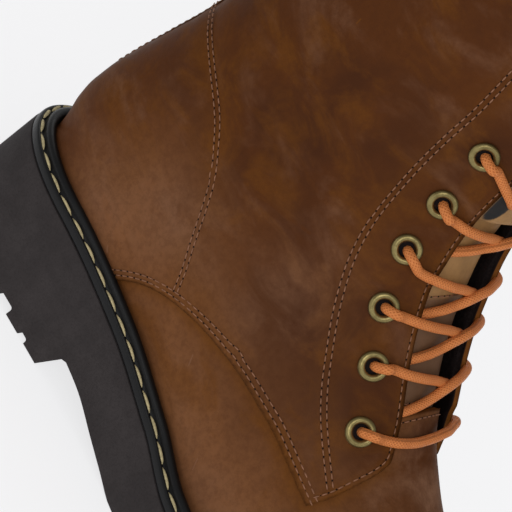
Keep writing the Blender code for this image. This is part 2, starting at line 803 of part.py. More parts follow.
LacePoint = namedtuple("LacePoint", "level aside inset")
on_tongue = wall + tongue_gap - clearance - lace_radius  # insets of a lace's middle
on_facing = -overlay - clearance - lace_radius
on_eyelet = on_facing - eyelet_dome
kept_crossing = 6
lowest_levels = {2: 1.36, 7: 6.3}  # clear of the vamp's edge, and of the keeper
BAR = [  # between the lowest eyelets; level counts eyelets, aside is a share of the eyelet's own
    LacePoint(1.00, -1.00, on_eyelet - lace_lift),
    LacePoint(0.93, -0.78, on_eyelet - 0.8 * lace_lift),
    LacePoint(0.84, -0.45, on_facing),
    LacePoint(0.80, 0.00, on_facing + 0.6 * lace_lift),
    LacePoint(0.84, 0.45, on_facing),
    LacePoint(0.93, 0.78, on_eyelet - 0.8 * lace_lift),
    LacePoint(1.00, 1.00, on_eyelet - lace_lift),
]
UPPER_STRAND = [  # level below the eyelet that it ends at, from beside the lateral facing's edge
    LacePoint(-0.94, -0.55, on_tongue - 0.6 * lace_lift),
    LacePoint(-0.86, -0.38, on_tongue - 0.6 * lace_lift),
    LacePoint(-0.72, -0.08, on_tongue - 0.6 * lace_lift),
    LacePoint(-0.56, 0.28, on_tongue - 0.6 * lace_lift),
    LacePoint(-0.34, 0.60, on_facing - 0.4 * lace_lift),
    LacePoint(-0.12, 0.85, on_eyelet),
    LacePoint(0.00, 1.00, on_eyelet - lace_lift),
]
LOWER_STRAND = [  # from beside the medial facing's edge
    LacePoint(-0.58, -0.50, on_tongue - 0.6 * lace_lift),
    LacePoint(-0.56, -0.28, on_tongue - 0.6 * lace_lift),
    LacePoint(-0.50, 0.08, on_tongue - 0.6 * lace_lift),
    LacePoint(-0.40, 0.42, 0.5 * (on_tongue + on_facing)),
    LacePoint(-0.25, 0.68, on_facing - 0.4 * lace_lift),
    LacePoint(-0.08, 0.87, on_eyelet),
    LacePoint(0.00, 1.00, on_eyelet - lace_lift),
]
KEPT_CROSSING = [  # the pair that runs under the lace keeper
    LacePoint(-0.80, -0.55, on_tongue - 0.4 * lace_lift),
    LacePoint(-0.76, -0.28, on_tongue - 0.4 * lace_lift),
    LacePoint(-0.72, 0.00, on_tongue - 0.4 * lace_lift),
    LacePoint(-0.66, 0.38, on_tongue - 0.4 * lace_lift),
    LacePoint(-0.44, 0.64, on_facing - 0.4 * lace_lift),
    LacePoint(-0.16, 0.88, on_eyelet),
    LacePoint(0.00, 1.00, on_eyelet - lace_lift),
]


def crossing_points(number, side):
    """One strand of a crossing, by the side it ends on. The medial one is raised over the other."""
    upper = side == MEDIAL and number != kept_crossing
    table = UPPER_STRAND if side == MEDIAL else LOWER_STRAND
    points = []
    for row in KEPT_CROSSING if number == kept_crossing else table:
        raised = upper * cross_lift * lace_radius * max(0.0, 1 - abs(row.aside - cross_at) / cross_width)
        level = max(number + row.level, lowest_levels.get(number, 0))
        points.append(LacePoint(level, side * row.aside, row.inset - raised))
    return points


def lace_point(point):
    """The eyelets count as levels, with a level 0 below them."""
    levels = np.arange(len(EYELETS) + 1)
    turns = [2 * EYELETS[0].turn - EYELETS[1].turn] + [row.turn for row in EYELETS]
    asides = [EYELETS[0].aside] + [row.aside for row in EYELETS]
    turn = float(np.interp(point.level, levels, turns))
    aside = float(np.interp(point.level, levels, asides)) * last_width
    return over_instep(turn, point.aside * aside, point.inset)


def tube(bm, points, radius):
    """Round cord through smooth points."""
    points = np.array([tuple(p) for p in points])
    run = np.concatenate([[0], np.cumsum(np.linalg.norm(np.diff(points, axis=0), axis=1))])
    Row = namedtuple("Row", "run x y z")
    rows = [Row(r, *p) for r, p in zip(run, points)]
    at = np.linspace(0, run[-1], lace_steps)
    columns = [smooth(rows, column, at) for column in ("x", "y", "z")]
    path = [Vector(place) for place in zip(*columns)]
    across = None
    rings = []
    for i, middle in enumerate(path):
        ahead = (path[min(i + 1, len(path) - 1)] - path[max(i - 1, 0)]).normalized()
        if across is None:
            across = ahead.orthogonal().normalized()
        across = (across - ahead * across.dot(ahead)).normalized()
        over = ahead.cross(across)
        around = [2 * math.pi * k / lace_sides for k in range(lace_sides)]
        spokes = [across * math.cos(a) + over * math.sin(a) for a in around]
        rings.append([bm.verts.new(middle + spoke * radius) for spoke in spokes])
    for one, other in zip(rings, rings[1:]):
        bridge(bm, one, other, closed=True)
    bm.faces.new(rings[0])
    bm.faces.new(rings[-1])


def lace_object(name, route, material):
    bm = bmesh.new()
    tube(bm, [lace_point(point) for point in route], lace_radius)
    return new_object(name, bm, material)


def make_laces(material):
    lace_object("lace_bar", BAR, material)
    for number in range(2, len(EYELETS) + 1):
        crossing = lace_object(f"lace_crossing_{number}", crossing_points(number, MEDIAL), material)
        below = lace_object("lower_strand", crossing_points(number, LATERAL), None)
        combine(crossing, below, "UNION", "lower_strand")


def main():
    for old in list(bpy.data.objects):
        bpy.data.objects.remove(old)
    leather = make_material("oiled_leather", (0.16, 0.065, 0.03), 0.5)
    rubber = make_material("outsole_rubber", (0.035, 0.028, 0.027), 0.85)
    welt_rubber = make_material("welt_rubber", (0.008, 0.008, 0.009), 0.4)
    sock = make_material("insole_board", (0.3, 0.2, 0.12), 0.8)
    tan = make_material("tongue_leather", (0.3, 0.16, 0.06), 0.55)
    brass = make_material("antique_brass", (0.3, 0.26, 0.12), 0.35, 1.0)
    cord = make_material("waxed_cord", (0.55, 0.17, 0.04), 0.6)
    make_outsole(rubber)
    make_welt(welt_rubber)
    make_insole(sock)
    make_upper(leather)
    make_backstay(leather)
    make_tongue(tan)
    make_keeper(tan)
    for number, row in enumerate(EYELETS, start=1):
        for side, word in ((LATERAL, "lateral"), (MEDIAL, "medial")):
            make_eyelet(f"eyelet_{word}_{number}", eyelet_frame(row, side), brass)
    make_laces(cord)
    width = outline(welt_reach)[:, 1]
    for part in bpy.data.objects:  # lengths above count from the sole's back
        part.location = (-outsole_length / 2, -(width.min() + width.max()) / 2, 0)


main()
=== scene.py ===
"""Right lace up ankle boot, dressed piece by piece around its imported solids, in metres."""

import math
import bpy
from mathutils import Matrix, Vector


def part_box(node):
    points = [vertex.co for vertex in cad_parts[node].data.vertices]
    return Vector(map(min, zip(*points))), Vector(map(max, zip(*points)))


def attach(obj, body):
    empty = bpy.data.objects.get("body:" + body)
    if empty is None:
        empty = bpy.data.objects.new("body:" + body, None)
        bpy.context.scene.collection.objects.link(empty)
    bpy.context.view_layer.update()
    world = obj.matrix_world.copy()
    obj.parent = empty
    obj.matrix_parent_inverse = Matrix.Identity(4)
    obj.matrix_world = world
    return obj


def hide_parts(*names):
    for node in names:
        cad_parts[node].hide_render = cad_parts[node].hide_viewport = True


bl_info = {
    "name": "Lace up ankle boot",
    "version": (1, 0, 0),
    "blender": (4, 5, 0),
    "location": "View3D > Sidebar > Boot",
    "description": "Builds a lace up ankle boot around its packed solids",
    "category": "Object",
}

from collections import namedtuple

import bmesh
import bpy
import numpy as np
from bpy.props import FloatProperty, FloatVectorProperty, IntProperty, PointerProperty
from mathutils import Matrix, Vector
from mathutils.geometry import delaunay_2d_cdt
from mathutils.kdtree import KDTree

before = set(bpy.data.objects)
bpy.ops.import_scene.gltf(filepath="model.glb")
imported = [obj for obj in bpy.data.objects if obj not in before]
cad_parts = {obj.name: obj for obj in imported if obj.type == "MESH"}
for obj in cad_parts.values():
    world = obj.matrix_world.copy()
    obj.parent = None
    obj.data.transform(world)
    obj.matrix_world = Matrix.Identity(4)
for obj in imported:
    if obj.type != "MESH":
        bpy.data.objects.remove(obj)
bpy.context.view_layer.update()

MM = 0.001
LATERAL, MEDIAL = -1, 1
SIDES = {"lateral": LATERAL, "medial": MEDIAL}
SIDE_NAMES = {side: name for name, side in SIDES.items()}
outsole_low, outsole_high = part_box("outsole")
upper_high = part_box("upper")[1]

# Tables of the form, in shares of the outsole's length, the boot's height or the last's width


def table(kind, *rows):
    """Rows of a table whose columns have names."""
    return [kind(*row) for row in rows]


PlanRow = namedtuple("PlanRow", "along lateral medial")
PLAN = table(
    PlanRow,
    (0.000, 0.325, 0.325), (0.117, 0.340, 0.331), (0.244, 0.345, 0.319), (0.390, 0.378, 0.315),
    (0.517, 0.475, 0.363), (0.644, 0.521, 0.450), (0.770, 0.510, 0.481), (0.890, 0.445, 0.450),
    (1.000, 0.385, 0.415),
)
RiseRow = namedtuple("RiseRow", "along rise")
SOLE_TOP = table(
    RiseRow,
    (0.000, 1.00), (0.136, 0.96), (0.281, 0.70), (0.390, 0.33), (0.480, 0.04), (0.600, 0.00),
    (1.000, 0.00),
)
SHANK = table(
    RiseRow,
    (0.00, 1.00), (0.22, 0.87), (0.55, 0.48), (0.80, 0.20), (1.00, 0.00),
)
SideRow = namedtuple("SideRow", "along up")
RIDGE = table(
    SideRow,
    (0.966, 0.175), (0.942, 0.211), (0.899, 0.243), (0.833, 0.274), (0.761, 0.301), (0.681, 0.333),
    (0.627, 0.362), (0.595, 0.385), (0.557, 0.417), (0.519, 0.468), (0.491, 0.509), (0.462, 0.561),
    (0.424, 0.658), (0.406, 0.762), (0.394, 0.874), (0.386, 1.000),
)
GapRow = namedtuple("GapRow", "turn lateral medial")
FACING_GAP = table(  # half of the throat, in mm
    GapRow,
    (0.190, 14.8, 14.8), (0.225, 15.0, 11.0), (0.330, 15.6, 11.0), (0.410, 16.0, 11.0),
    (0.460, 14.6, 11.0), (0.525, 13.6, 11.0), (1.000, 13.4, 11.0),
)
QUARTER_FOOT = table(
    SideRow,
    (0.200, 0.090), (0.227, 0.168), (0.266, 0.226), (0.309, 0.255), (0.360, 0.273), (0.412, 0.281),
    (0.465, 0.280), (0.512, 0.272), (0.562, 0.263),
)
FACING_FRONT = table(
    SideRow,
    (0.562, 0.263), (0.569, 0.303), (0.570, 0.348), (0.566, 0.372), (0.557, 0.391), (0.546, 0.406),
)
COUNTER_SEAM = table(
    SideRow,
    (0.036, 0.508), (0.085, 0.494), (0.117, 0.481), (0.155, 0.459), (0.185, 0.430), (0.210, 0.400),
    (0.230, 0.366), (0.253, 0.322), (0.273, 0.285), (0.283, 0.262),
)
FACING_SEAM = table(
    SideRow,
    (0.557, 0.306), (0.529, 0.324), (0.496, 0.349), (0.466, 0.378), (0.437, 0.413), (0.409, 0.450),
    (0.389, 0.481), (0.371, 0.513), (0.355, 0.550), (0.344, 0.586), (0.336, 0.630), (0.329, 0.683),
    (0.324, 0.741), (0.321, 0.792), (0.317, 0.831), (0.313, 0.867), (0.304, 0.955),
)
BackRow = namedtuple("BackRow", "up along")
BACK = table(
    BackRow,
    (0.000, 0.0257), (0.030, 0.0202), (0.065, 0.0122), (0.107, 0.0078), (0.148, 0.0076),
    (0.195, 0.0101), (0.284, 0.0178), (0.373, 0.0257), (0.432, 0.0286), (0.521, 0.0312),
    (0.669, 0.0293), (0.817, 0.0239), (1.000, 0.0203),
)
GirthRow = namedtuple("GirthRow", "turn lateral medial widest front_power foot_power")
GIRTH = table(
    GirthRow,
    (-1.00, 0.394, 0.431, 0.75, 2.00, 2.4), (-0.75, 0.458, 0.468, 0.77, 1.95, 2.4),
    (-0.50, 0.514, 0.500, 0.78, 1.90, 2.4), (-0.25, 0.540, 0.504, 0.79, 1.82, 2.4),
    (0.00, 0.536, 0.476, 0.80, 1.78, 2.4), (0.11, 0.502, 0.424, 0.78, 1.85, 2.4),
    (0.22, 0.453, 0.385, 0.72, 1.95, 2.4), (0.33, 0.426, 0.380, 0.62, 2.05, 2.4),
    (0.44, 0.419, 0.394, 0.54, 2.10, 2.4), (0.53, 0.413, 0.400, 0.50, 2.10, 2.5),
    (0.67, 0.419, 0.415, 0.48, 2.10, 2.3), (0.78, 0.425, 0.425, 0.47, 2.10, 2.1),
    (1.00, 0.456, 0.456, 0.47, 2.10, 2.05),
)
EyeletRow = namedtuple("EyeletRow", "turn aside")
EYELETS = table(
    EyeletRow,
    (0.207, 0.305), (0.296, 0.291), (0.384, 0.296), (0.477, 0.282), (0.565, 0.268), (0.675, 0.290),
    (0.790, 0.286), (0.912, 0.286),
)

# Numbers of the form

heel_round, heel_power = 0.132, 2.35
toe_round, toe_power = 0.26, 2.25
toe_turn, toe_turn_start, toe_lift_start = 0.055, 0.6, 0.74
foot_limit = 0.985
pivot_along = 0.68
first_station, last_station = 0.004, 2.05
outline_end = 0.006  # where the vamp's outline closes round the toe
edge_around = 2.0  # how far around the back seam and the feather are
vamp_edge_turn, vamp_edge_reach, vamp_under = 0.213, 6 * MM, 7 * MM
flare_height, flare_from, flare_edge = 4.4 * MM, 21.5 * MM, 11 * MM
facing_join = 0.012  # the turn from the facing's front to its straight part

# Numbers of the seams

row_inset = 1.7 * MM
counter_rows = (-0.45 * MM, 0.9 * MM)
stitch_share, thread_width = 0.74, 0.45 * MM
thread_flatness, thread_sink, thread_bend = 0.8, 0.35, 0.25
thread_sides, thread_rows = 8, 7
hole_radius, hole_low, hole_high = 0.3 * MM, 0.03 * MM, 0.14 * MM
seam_groove, seam_groove_width = 0.22 * MM, 2.2 * MM
seam_bulge, seam_bulge_place, seam_bulge_width = 0.2 * MM, 6 * MM, 2.6 * MM

# Curves and the form


def smooth(rows, column, at):
    """Monotone cubic through one column of a table whose first column is the place along it."""
    xs = np.array([row[0] for row in rows], dtype=float)
    ys = np.array([getattr(row, column) for row in rows], dtype=float)
    step = np.diff(xs)
    slope = np.diff(ys) / step
    lean = np.zeros_like(ys)
    lean[0], lean[-1] = slope[0], slope[-1]
    for i in range(1, len(xs) - 1):
        if slope[i - 1] * slope[i] > 0:
            before = 2 * step[i] + step[i - 1]
            after = step[i] + 2 * step[i - 1]
            lean[i] = (before + after) / (before / slope[i - 1] + after / slope[i])
    at = np.clip(at, xs[0], xs[-1])
    i = np.clip(np.searchsorted(xs, at, side="right") - 1, 0, len(step) - 1)
    t = (at - xs[i]) / step[i]
    start = (1 + 2 * t) * (1 - t) ** 2 * ys[i] + t * (1 - t) ** 2 * step[i] * lean[i]
    end = t * t * (3 - 2 * t) * ys[i + 1] + t * t * (t - 1) * step[i] * lean[i + 1]
    return start + end


def run_of(points):
    """Length along a row of points, at each of them."""
    return np.concatenate([[0], np.cumsum(np.linalg.norm(np.diff(points, axis=0), axis=1))])


def unit(rows):
    """Rows of vectors, or one, each at length 1."""
    rows = np.asarray(rows, dtype=float)
    return rows / np.maximum(np.linalg.norm(rows, axis=-1, keepdims=True), 1e-12)


def ring_angles(count):
    return 2 * np.pi * np.arange(count) / count


def resample(points, spacing=None, count=None):
    """Points at even distances on a smooth curve through the given ones."""
    points = np.array(points, dtype=float)
    run = run_of(points)
    Row = namedtuple("Row", ["run"] + [f"c{i}" for i in range(points.shape[1])])
    rows = [Row(r, *p) for r, p in zip(run, points)]
    if count is None:
        count = max(2, int(round(run[-1] / spacing)) + 1)
    at = np.linspace(0, run[-1], count)
    return np.stack([smooth(rows, f"c{i}", at) for i in range(points.shape[1])], axis=1)


class Form:
    """The last: a fan of slices, upright through the forefoot and turning about a pivot up to the collar."""

    def __init__(self, sizes):
        self.sizes = sizes
        self.length = sizes.outsole_length
        self.height = sizes.boot_height
        self.width = sizes.last_width
        self.back = sizes.welt_reach
        self.front = self.length - sizes.welt_reach
        self.pivot = np.array([pivot_along * self.length, self.height])
        ridge = [(self.front, self.feather_z(self.front))] + self.in_metres(RIDGE)
        ridge = resample(ridge, count=200)
        behind = ridge[:, 0] < self.pivot[0]
        turns = self.turn_of(*ridge[behind].T)
        reaches = np.hypot(*(self.pivot - ridge[behind]).T)
        self.stations = np.linspace(0, last_station + 0.01, 825)
        x, z = self.base_points(self.stations)
        turn = self.turn_of(x, z)
        self.turns = turn
        fan = turn >= 0
        self.fan_turns, self.fan_stations = turn[fan], self.stations[fan]
        reach = np.hypot(x - self.pivot[0], z - self.pivot[1])
        upright = self.pivot[1] - np.interp(x, ridge[::-1, 0], ridge[::-1, 1])
        start = np.where(fan, np.interp(turn, turns, reaches), upright)
        end = np.where(fan, reach, self.pivot[1] - z)
        toe = np.where(fan, 1.0, self.round_ends(self.share_along(x)))
        self.cuts = {
            "x": np.where(fan, self.pivot[0], x),
            "way_x": np.where(fan, (x - self.pivot[0]) / reach, 0.0),
            "way_z": np.where(fan, (z - self.pivot[1]) / reach, -1.0),
            "start": start,
            "end": end,
        }
        for name in SIDES:
            half = smooth(GIRTH, name, turn) * self.width * toe
            foot = np.minimum(self.feather_half(x, name), foot_limit * half)
            self.cuts[f"wide_{name}"] = half
            self.cuts[f"foot_{name}"] = np.where(self.stations <= 1, foot, 0.0)
        for name in ("widest", "front_power", "foot_power"):
            self.cuts[name] = smooth(GIRTH, name, turn)
        outline = self.outline(sizes.welt_reach, 34, shifted=False)
        self.shift = np.array([-self.length / 2, -(outline[:, 1].min() + outline[:, 1].max()) / 2, 0.0])

    def in_metres(self, rows):
        return [(row.along * self.length, row.up * self.height) for row in rows]

    def share_along(self, x, inset=0.0):
        start, end = self.back + inset, self.front - inset
        return np.clip((x - start) / (end - start), 0, 1)

    def round_ends(self, share):
        heel = np.clip(1 - share / heel_round, 0, 1)
        toe = np.clip((share - 1) / toe_round + 1, 0, 1)
        return (1 - heel**heel_power) ** (1 / heel_power) * (1 - toe**toe_power) ** (1 / toe_power)

    def centre_y(self, x):
        toward_toe = np.clip((self.share_along(x) - toe_turn_start) / (1 - toe_turn_start), 0, 1)
        return toe_turn * self.width * toward_toe**2

    def feather_half(self, x, name):
        share = self.share_along(x)
        return smooth(PLAN, name, share) * self.width * self.round_ends(share)

    def toe_lift(self, x):
        ahead = np.clip((x / self.length - toe_lift_start) / (1 - toe_lift_start), 0, None)
        return self.sizes.toe_spring * ahead**2

    def sole_top(self, x):
        rise = smooth(SOLE_TOP, "rise", x / self.length)
        low, high = self.sizes.forefoot_top, self.sizes.heel_top
        return low + (high - low) * rise + self.toe_lift(x)

    def feather_z(self, x):
        return self.sole_top(x) + self.sizes.welt_height

    def outline(self, distance, steps, shifted=True):
        """Ring outside the feather by distance, from the heel along the lateral side, then back."""
        share = (1 - np.cos(np.pi * np.arange(steps + 1) / steps)) / 2
        x = self.back + (self.front - self.back) * share
        middle = self.centre_y(x)
        lateral = np.stack([x, middle - self.feather_half(x, "lateral")], axis=1)
        medial = np.stack([x, middle + self.feather_half(x, "medial")], axis=1)[::-1]
        ring = np.concatenate([lateral, medial[1:-1]])
        along = unit(np.roll(ring, -1, axis=0) - np.roll(ring, 1, axis=0))
        ring = ring + np.stack([along[:, 1], -along[:, 0]], axis=1) * distance
        return ring + self.shift[:2] if shifted else ring

    def base_points(self, station):
        """Where slices end, in side view: 0 to 1 along the feather from toe to heel, 1 to 2 up the back."""
        share = (1 + np.cos(np.pi * np.clip(station, 0, 1))) / 2
        x = self.back + (self.front - self.back) * share
        foot = float(self.feather_z(self.back))
        up = np.maximum(station - 1, 0)
        on_back = smooth(BACK, "along", up) * self.length
        z = np.where(station <= 1, self.feather_z(x), foot + (self.height - foot) * up)
        return np.where(station <= 1, x, on_back), z

    def turn_of(self, x, z):
        """0 straight below the pivot and 1 level with it, behind; minus ahead of it, to -1 at the toe."""
        ahead = -(x - self.pivot[0]) / (self.front - self.pivot[0])
        behind = np.arctan2(self.pivot[0] - x, self.pivot[1] - z) / (np.pi / 2)
        return np.where(x >= self.pivot[0], ahead, behind)

    def station_at(self, turn):
        return np.interp(turn, self.fan_turns, self.fan_stations)

    def cut(self, station, side):
        """The slice's numbers at stations, with the half widths of a side."""
        at = {name: np.interp(station, self.stations, column) for name, column in self.cuts.items()}
        lateral = np.asarray(side) < 0
        for name in ("wide", "foot"):
            at[name] = np.where(lateral, at[f"{name}_lateral"], at[f"{name}_medial"])
        narrowing = np.clip(at["foot"] / np.maximum(at["wide"], 1e-9), 0, 1)
        at["last"] = np.arccos(narrowing ** (at["foot_power"] / 2))
        return at

    def bare(self, station, around):
        """Points on the vamp's face: around is 0 on the ridge, 1 at the widest place and 2 at the edge."""
        side = np.where(around < 0, -1.0, 1.0)
        around = np.clip(np.abs(around), 0, 2)
        cut = self.cut(station, side)
        front = np.clip(around, 0, 1) * np.pi / 2
        back = np.clip(around - 1, 0, 1) * cut["last"]
        high = around <= 1
        share_high = cut["widest"] * (1 - np.cos(front) ** (2 / cut["front_power"]))
        low = (np.sin(back) / np.sin(cut["last"])) ** (2 / cut["foot_power"])
        share = np.where(high, share_high, cut["widest"] + (1 - cut["widest"]) * low)
        wide_high = np.sin(front) ** (2 / cut["front_power"])
        wide_low = np.clip(np.cos(back), 0, 1) ** (2 / cut["foot_power"])
        y = side * cut["wide"] * np.where(high, wide_high, wide_low)
        reach = cut["start"] + (cut["end"] - cut["start"]) * share
        x = cut["x"] + cut["way_x"] * reach
        z = self.pivot[1] + cut["way_z"] * reach
        return np.stack([x, y + self.centre_y(x), z], axis=-1) + self.shift

    def normal(self, station, around):
        step, seam_width = 0.004, 0.06
        before, after = (np.clip(station + way, first_station, last_station) for way in (-step, step))
        left, right = (np.clip(around + way, -edge_around, edge_around) for way in (-step, step))
        up = self.bare(after, around) - self.bare(before, around)
        out = np.cross(self.bare(station, right) - self.bare(station, left), up)
        off_seam = np.clip((edge_around - np.abs(around)) / seam_width, 0, 1)
        out[..., 1] *= off_seam * (station > 1) + (station <= 1)
        return unit(out)

    def face(self, station, around, out=0.0):
        """Points lifted off the vamp's face by out, and their normals."""
        station, around = np.broadcast_arrays(np.asarray(station, float), np.asarray(around, float))
        normal = self.normal(station, around)
        return self.bare(station, around) + normal * np.asarray(out)[..., None], normal

    def around_at(self, turn, aside):
        """How far around a slice a place on its front is; aside is minus on the lateral side."""
        aside = np.asarray(aside, float)
        cut = self.cut(self.station_at(turn), np.where(aside < 0, -1, 1))
        sine = np.clip(np.abs(aside) / cut["wide"], 0, 1) ** (cut["front_power"] / 2)
        return np.sign(aside) * np.arcsin(sine) / (np.pi / 2)

    def flare(self, station, y):
        """How far the medial facing stands off the tongue, most at its edge; y is aside from the middle."""
        turn = np.interp(station, self.stations, self.turns)
        along = np.interp(turn, (0.138, 0.178, 0.85, 1.0), (0, 1, 1, 0.5))
        across = np.clip((flare_from - y) / (flare_from - flare_edge), 0, 1.1)
        return flare_height * along * across**1.4 * (y > 0)

    def flare_on(self, station, around):
        """The same for places on the form."""
        y = self.bare(station, around)[..., 1] - self.shift[1]
        return self.flare(station, y) * (around > 0) * (around < 1)

    def over(self, turn, aside, out=0.0):
        return self.face(self.station_at(turn), self.around_at(turn, aside), out)

    def from_side(self, points, side):
        """Station and around of places behind the pivot, seen from the side, from the sole's back."""
        points = np.asarray(points, float)
        station = self.station_at(self.turn_of(points[:, 0], points[:, 1]))
        cut = self.cut(station, side)
        reach = np.hypot(points[:, 0] - self.pivot[0], points[:, 1] - self.pivot[1])
        share = np.clip((reach - cut["start"]) / (cut["end"] - cut["start"]), 0, 1)
        rest = np.clip(1 - share / cut["widest"], 0, 1) ** (cut["front_power"] / 2)
        low = np.clip((share - cut["widest"]) / (1 - cut["widest"]), 0, 1) ** (cut["foot_power"] / 2)
        angle = np.arcsin(np.clip(low * np.sin(cut["last"]), 0, 1))
        around = np.where(share <= cut["widest"], np.arccos(rest) / (np.pi / 2), 1 + angle / cut["last"])
        return np.stack([station, side * around], axis=1)


# Shaders


class Value:
    """A socket of a material's node tree. Arithmetic on it adds Math nodes, so it is for numbers alone."""

    def __init__(self, shader, socket):
        self.shader = shader
        self.socket = socket

    def maths(self, operation, *values):
        return self.shader.node("ShaderNodeMath", {"operation": operation}, dict(enumerate(values)))

    def __add__(self, other):
        return self.maths("ADD", self, other)

    def __sub__(self, other):
        return self.maths("SUBTRACT", self, other)

    def __rsub__(self, other):
        return self.maths("SUBTRACT", other, self)

    def __mul__(self, other):
        return self.maths("MULTIPLY", self, other)

    __radd__ = __add__
    __rmul__ = __mul__

    def sine(self):
        return self.maths("SINE", self)

    def largest(self, other):
        return self.maths("MAXIMUM", self, other)

    def between(self, low, high, start=0.0, end=1.0):
        """From start to end as this goes from low to high, smoothly and no further."""
        settings = {"interpolation_type": "SMOOTHSTEP"}
        sockets = {"Value": self, "From Min": low, "From Max": high, "To Min": start, "To Max": end}
        return self.shader.node("ShaderNodeMapRange", settings, sockets)


class Shader:
    """A material with a Principled surface, and its nodes."""

    def __init__(self, name, **uniform):
        self.material = bpy.data.materials.new(name)
        self.material.use_nodes = True
        self.tree = self.material.node_tree
        self.surface = self.tree.nodes["Principled BSDF"]
        for socket, value in uniform.items():
            self.surface.inputs[socket.replace("_", " ")].default_value = value
        self.place = self.node("ShaderNodeTexCoord", output="Object")

    def node(self, kind, settings=None, sockets=None, output=0):
        node = self.tree.nodes.new(kind)
        for name, value in (settings or {}).items():
            setattr(node, name, value)
        for name, value in (sockets or {}).items():
            if isinstance(value, Value):
                self.tree.links.new(value.socket, node.inputs[name])
            else:
                node.inputs[name].default_value = value
        return Value(self, node.outputs[output])

    def stretched(self, scale, turn=(0.0, 0.0, 0.0)):
        """Places for a pattern that is drawn out one way."""
        return self.node("ShaderNodeMapping", None, {"Vector": self.place, "Scale": scale, "Rotation": turn})

    def noise(self, scale, detail=3.0, roughness=0.55, distortion=0.0, place=None):
        sockets = {"Vector": place or self.place, "Scale": scale, "Detail": detail}
        sockets.update({"Roughness": roughness, "Distortion": distortion})
        return self.node("ShaderNodeTexNoise", None, sockets)

    def cells(self, scale, feature="F1"):
        return self.node("ShaderNodeTexVoronoi", {"feature": feature}, {"Vector": self.place, "Scale": scale})

    def attribute(self, name):
        return self.node("ShaderNodeAttribute", {"attribute_name": name}, output="Fac")

    def mix(self, factor, one, other):
        """Colours: one where factor is 0, other where it is 1."""
        return self.node("ShaderNodeMix", {"data_type": "RGBA"}, {0: factor, 6: one, 7: other}, 2)

    def to_segment(self, place, start, end):
        """Distance from a straight line between two places."""
        start, end = Vector(start), Vector(end)
        along = end - start
        rest = self.vector("SUBTRACT", place, tuple(start))
        share = self.vector("DOT_PRODUCT", rest, tuple(along), output="Value") * (1 / along.length_squared)
        share = self.node("ShaderNodeClamp", None, {"Value": share})
        sockets = {0: tuple(along), "Scale": share}
        nearest = self.node("ShaderNodeVectorMath", {"operation": "SCALE"}, sockets)
        return self.vector("LENGTH", self.vector("SUBTRACT", rest, nearest), output="Value")

    def vector(self, operation, *values, output=0):
        return self.node("ShaderNodeVectorMath", {"operation": operation}, dict(enumerate(values)), output)

    def feed(self, **sockets):
        for name, value in sockets.items():
            self.tree.links.new(value.socket, self.surface.inputs[name.replace("_", " ")])

    def bump(self, *heights):
        """Each height is a value, the distance that it stands for and its strength."""
        normal = None
        for height, distance, strength in heights:
            sockets = {"Height": height, "Distance": distance, "Strength": strength}
            if normal:
                sockets["Normal"] = normal
            normal = self.node("ShaderNodeBump", None, sockets)
        self.feed(Normal=normal)


def colour(values):
    """Linear colour from a property, with alpha."""
    return (*values, 1.0)


def seen(red, green, blue):
    """Linear colour of one that is seen as 0 to 255."""
    shares = [value / 255 for value in (red, green, blue)]
    return tuple(v / 12.92 if v < 0.0405 else ((v + 0.055) / 1.055) ** 2.4 for v in shares)


# Meshes


def make_piece(name, points, faces, material, slot, replaced=(), flat=False, attributes=None):
    """A piece that rides on the boot, its faces turned outward, with attributes for its points."""
    mesh = bpy.data.meshes.new(name)
    mesh.from_pydata([tuple(p) for p in points], [], [tuple(int(i) for i in face) for face in faces])
    mesh.validate()
    mesh.polygons.foreach_set("use_smooth", [not flat] * len(mesh.polygons))
    for key, values in (attributes or {}).items():
        layer = mesh.attributes.new(key, "FLOAT", "POINT")
        layer.data.foreach_set("value", np.asarray(values, np.float32))
    mesh.materials.append(material)
    work = bmesh.new()
    work.from_mesh(mesh)
    bmesh.ops.recalc_face_normals(work, faces=work.faces)
    work.to_mesh(mesh)
    work.free()
    piece = bpy.data.objects.new(name, mesh)
    bpy.context.collection.objects.link(piece)
    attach(piece, "root")
    if replaced:
        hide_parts(*replaced)
    return piece


def grid_faces(rows, columns, closed=False):
    """Quads of a grid of points, numbered row by row."""
    i = np.arange(rows - 1)[:, None] * columns
    j = np.arange(columns if closed else columns - 1)[None, :]
    after = (j + 1) % columns
    quads = np.stack([i + j, i + after, i + columns + after, i + columns + j], axis=-1)
    return [tuple(quad) for quad in quads.reshape(-1, 4)]


def capped_faces(rows, columns):
    """Faces of a tube made of rings of points, with both of its ends."""
    count = rows * columns
    ends = [tuple(range(columns))[::-1], tuple(range(count - columns, count))]
    return grid_faces(rows, columns, closed=True) + ends


def loop_faces(rows, columns):
    """Faces of a tube whose last ring joins its first."""
    last = (rows - 1) * columns
    join = [(last + i, last + (i + 1) % columns, (i + 1) % columns, i) for i in range(columns)]
    return grid_faces(rows, columns, closed=True) + join


def sheet_faces(rows, columns):
    """Faces of a closed sheet: a grid of upper points, the same of lower ones, and its rim."""
    count = rows * columns
    upper = grid_faces(rows, columns)
    lower = [tuple(i + count for i in face[::-1]) for face in upper]
    rim = list(range(columns)) + [i * columns + columns - 1 for i in range(1, rows)]
    rim += [(rows - 1) * columns + j for j in range(columns - 2, -1, -1)]
    rim += [i * columns for i in range(rows - 2, 0, -1)]
    sides = [(one, one + count, other + count, other) for one, other in zip(rim, rim[1:] + rim[:1])]
    return upper + lower + sides


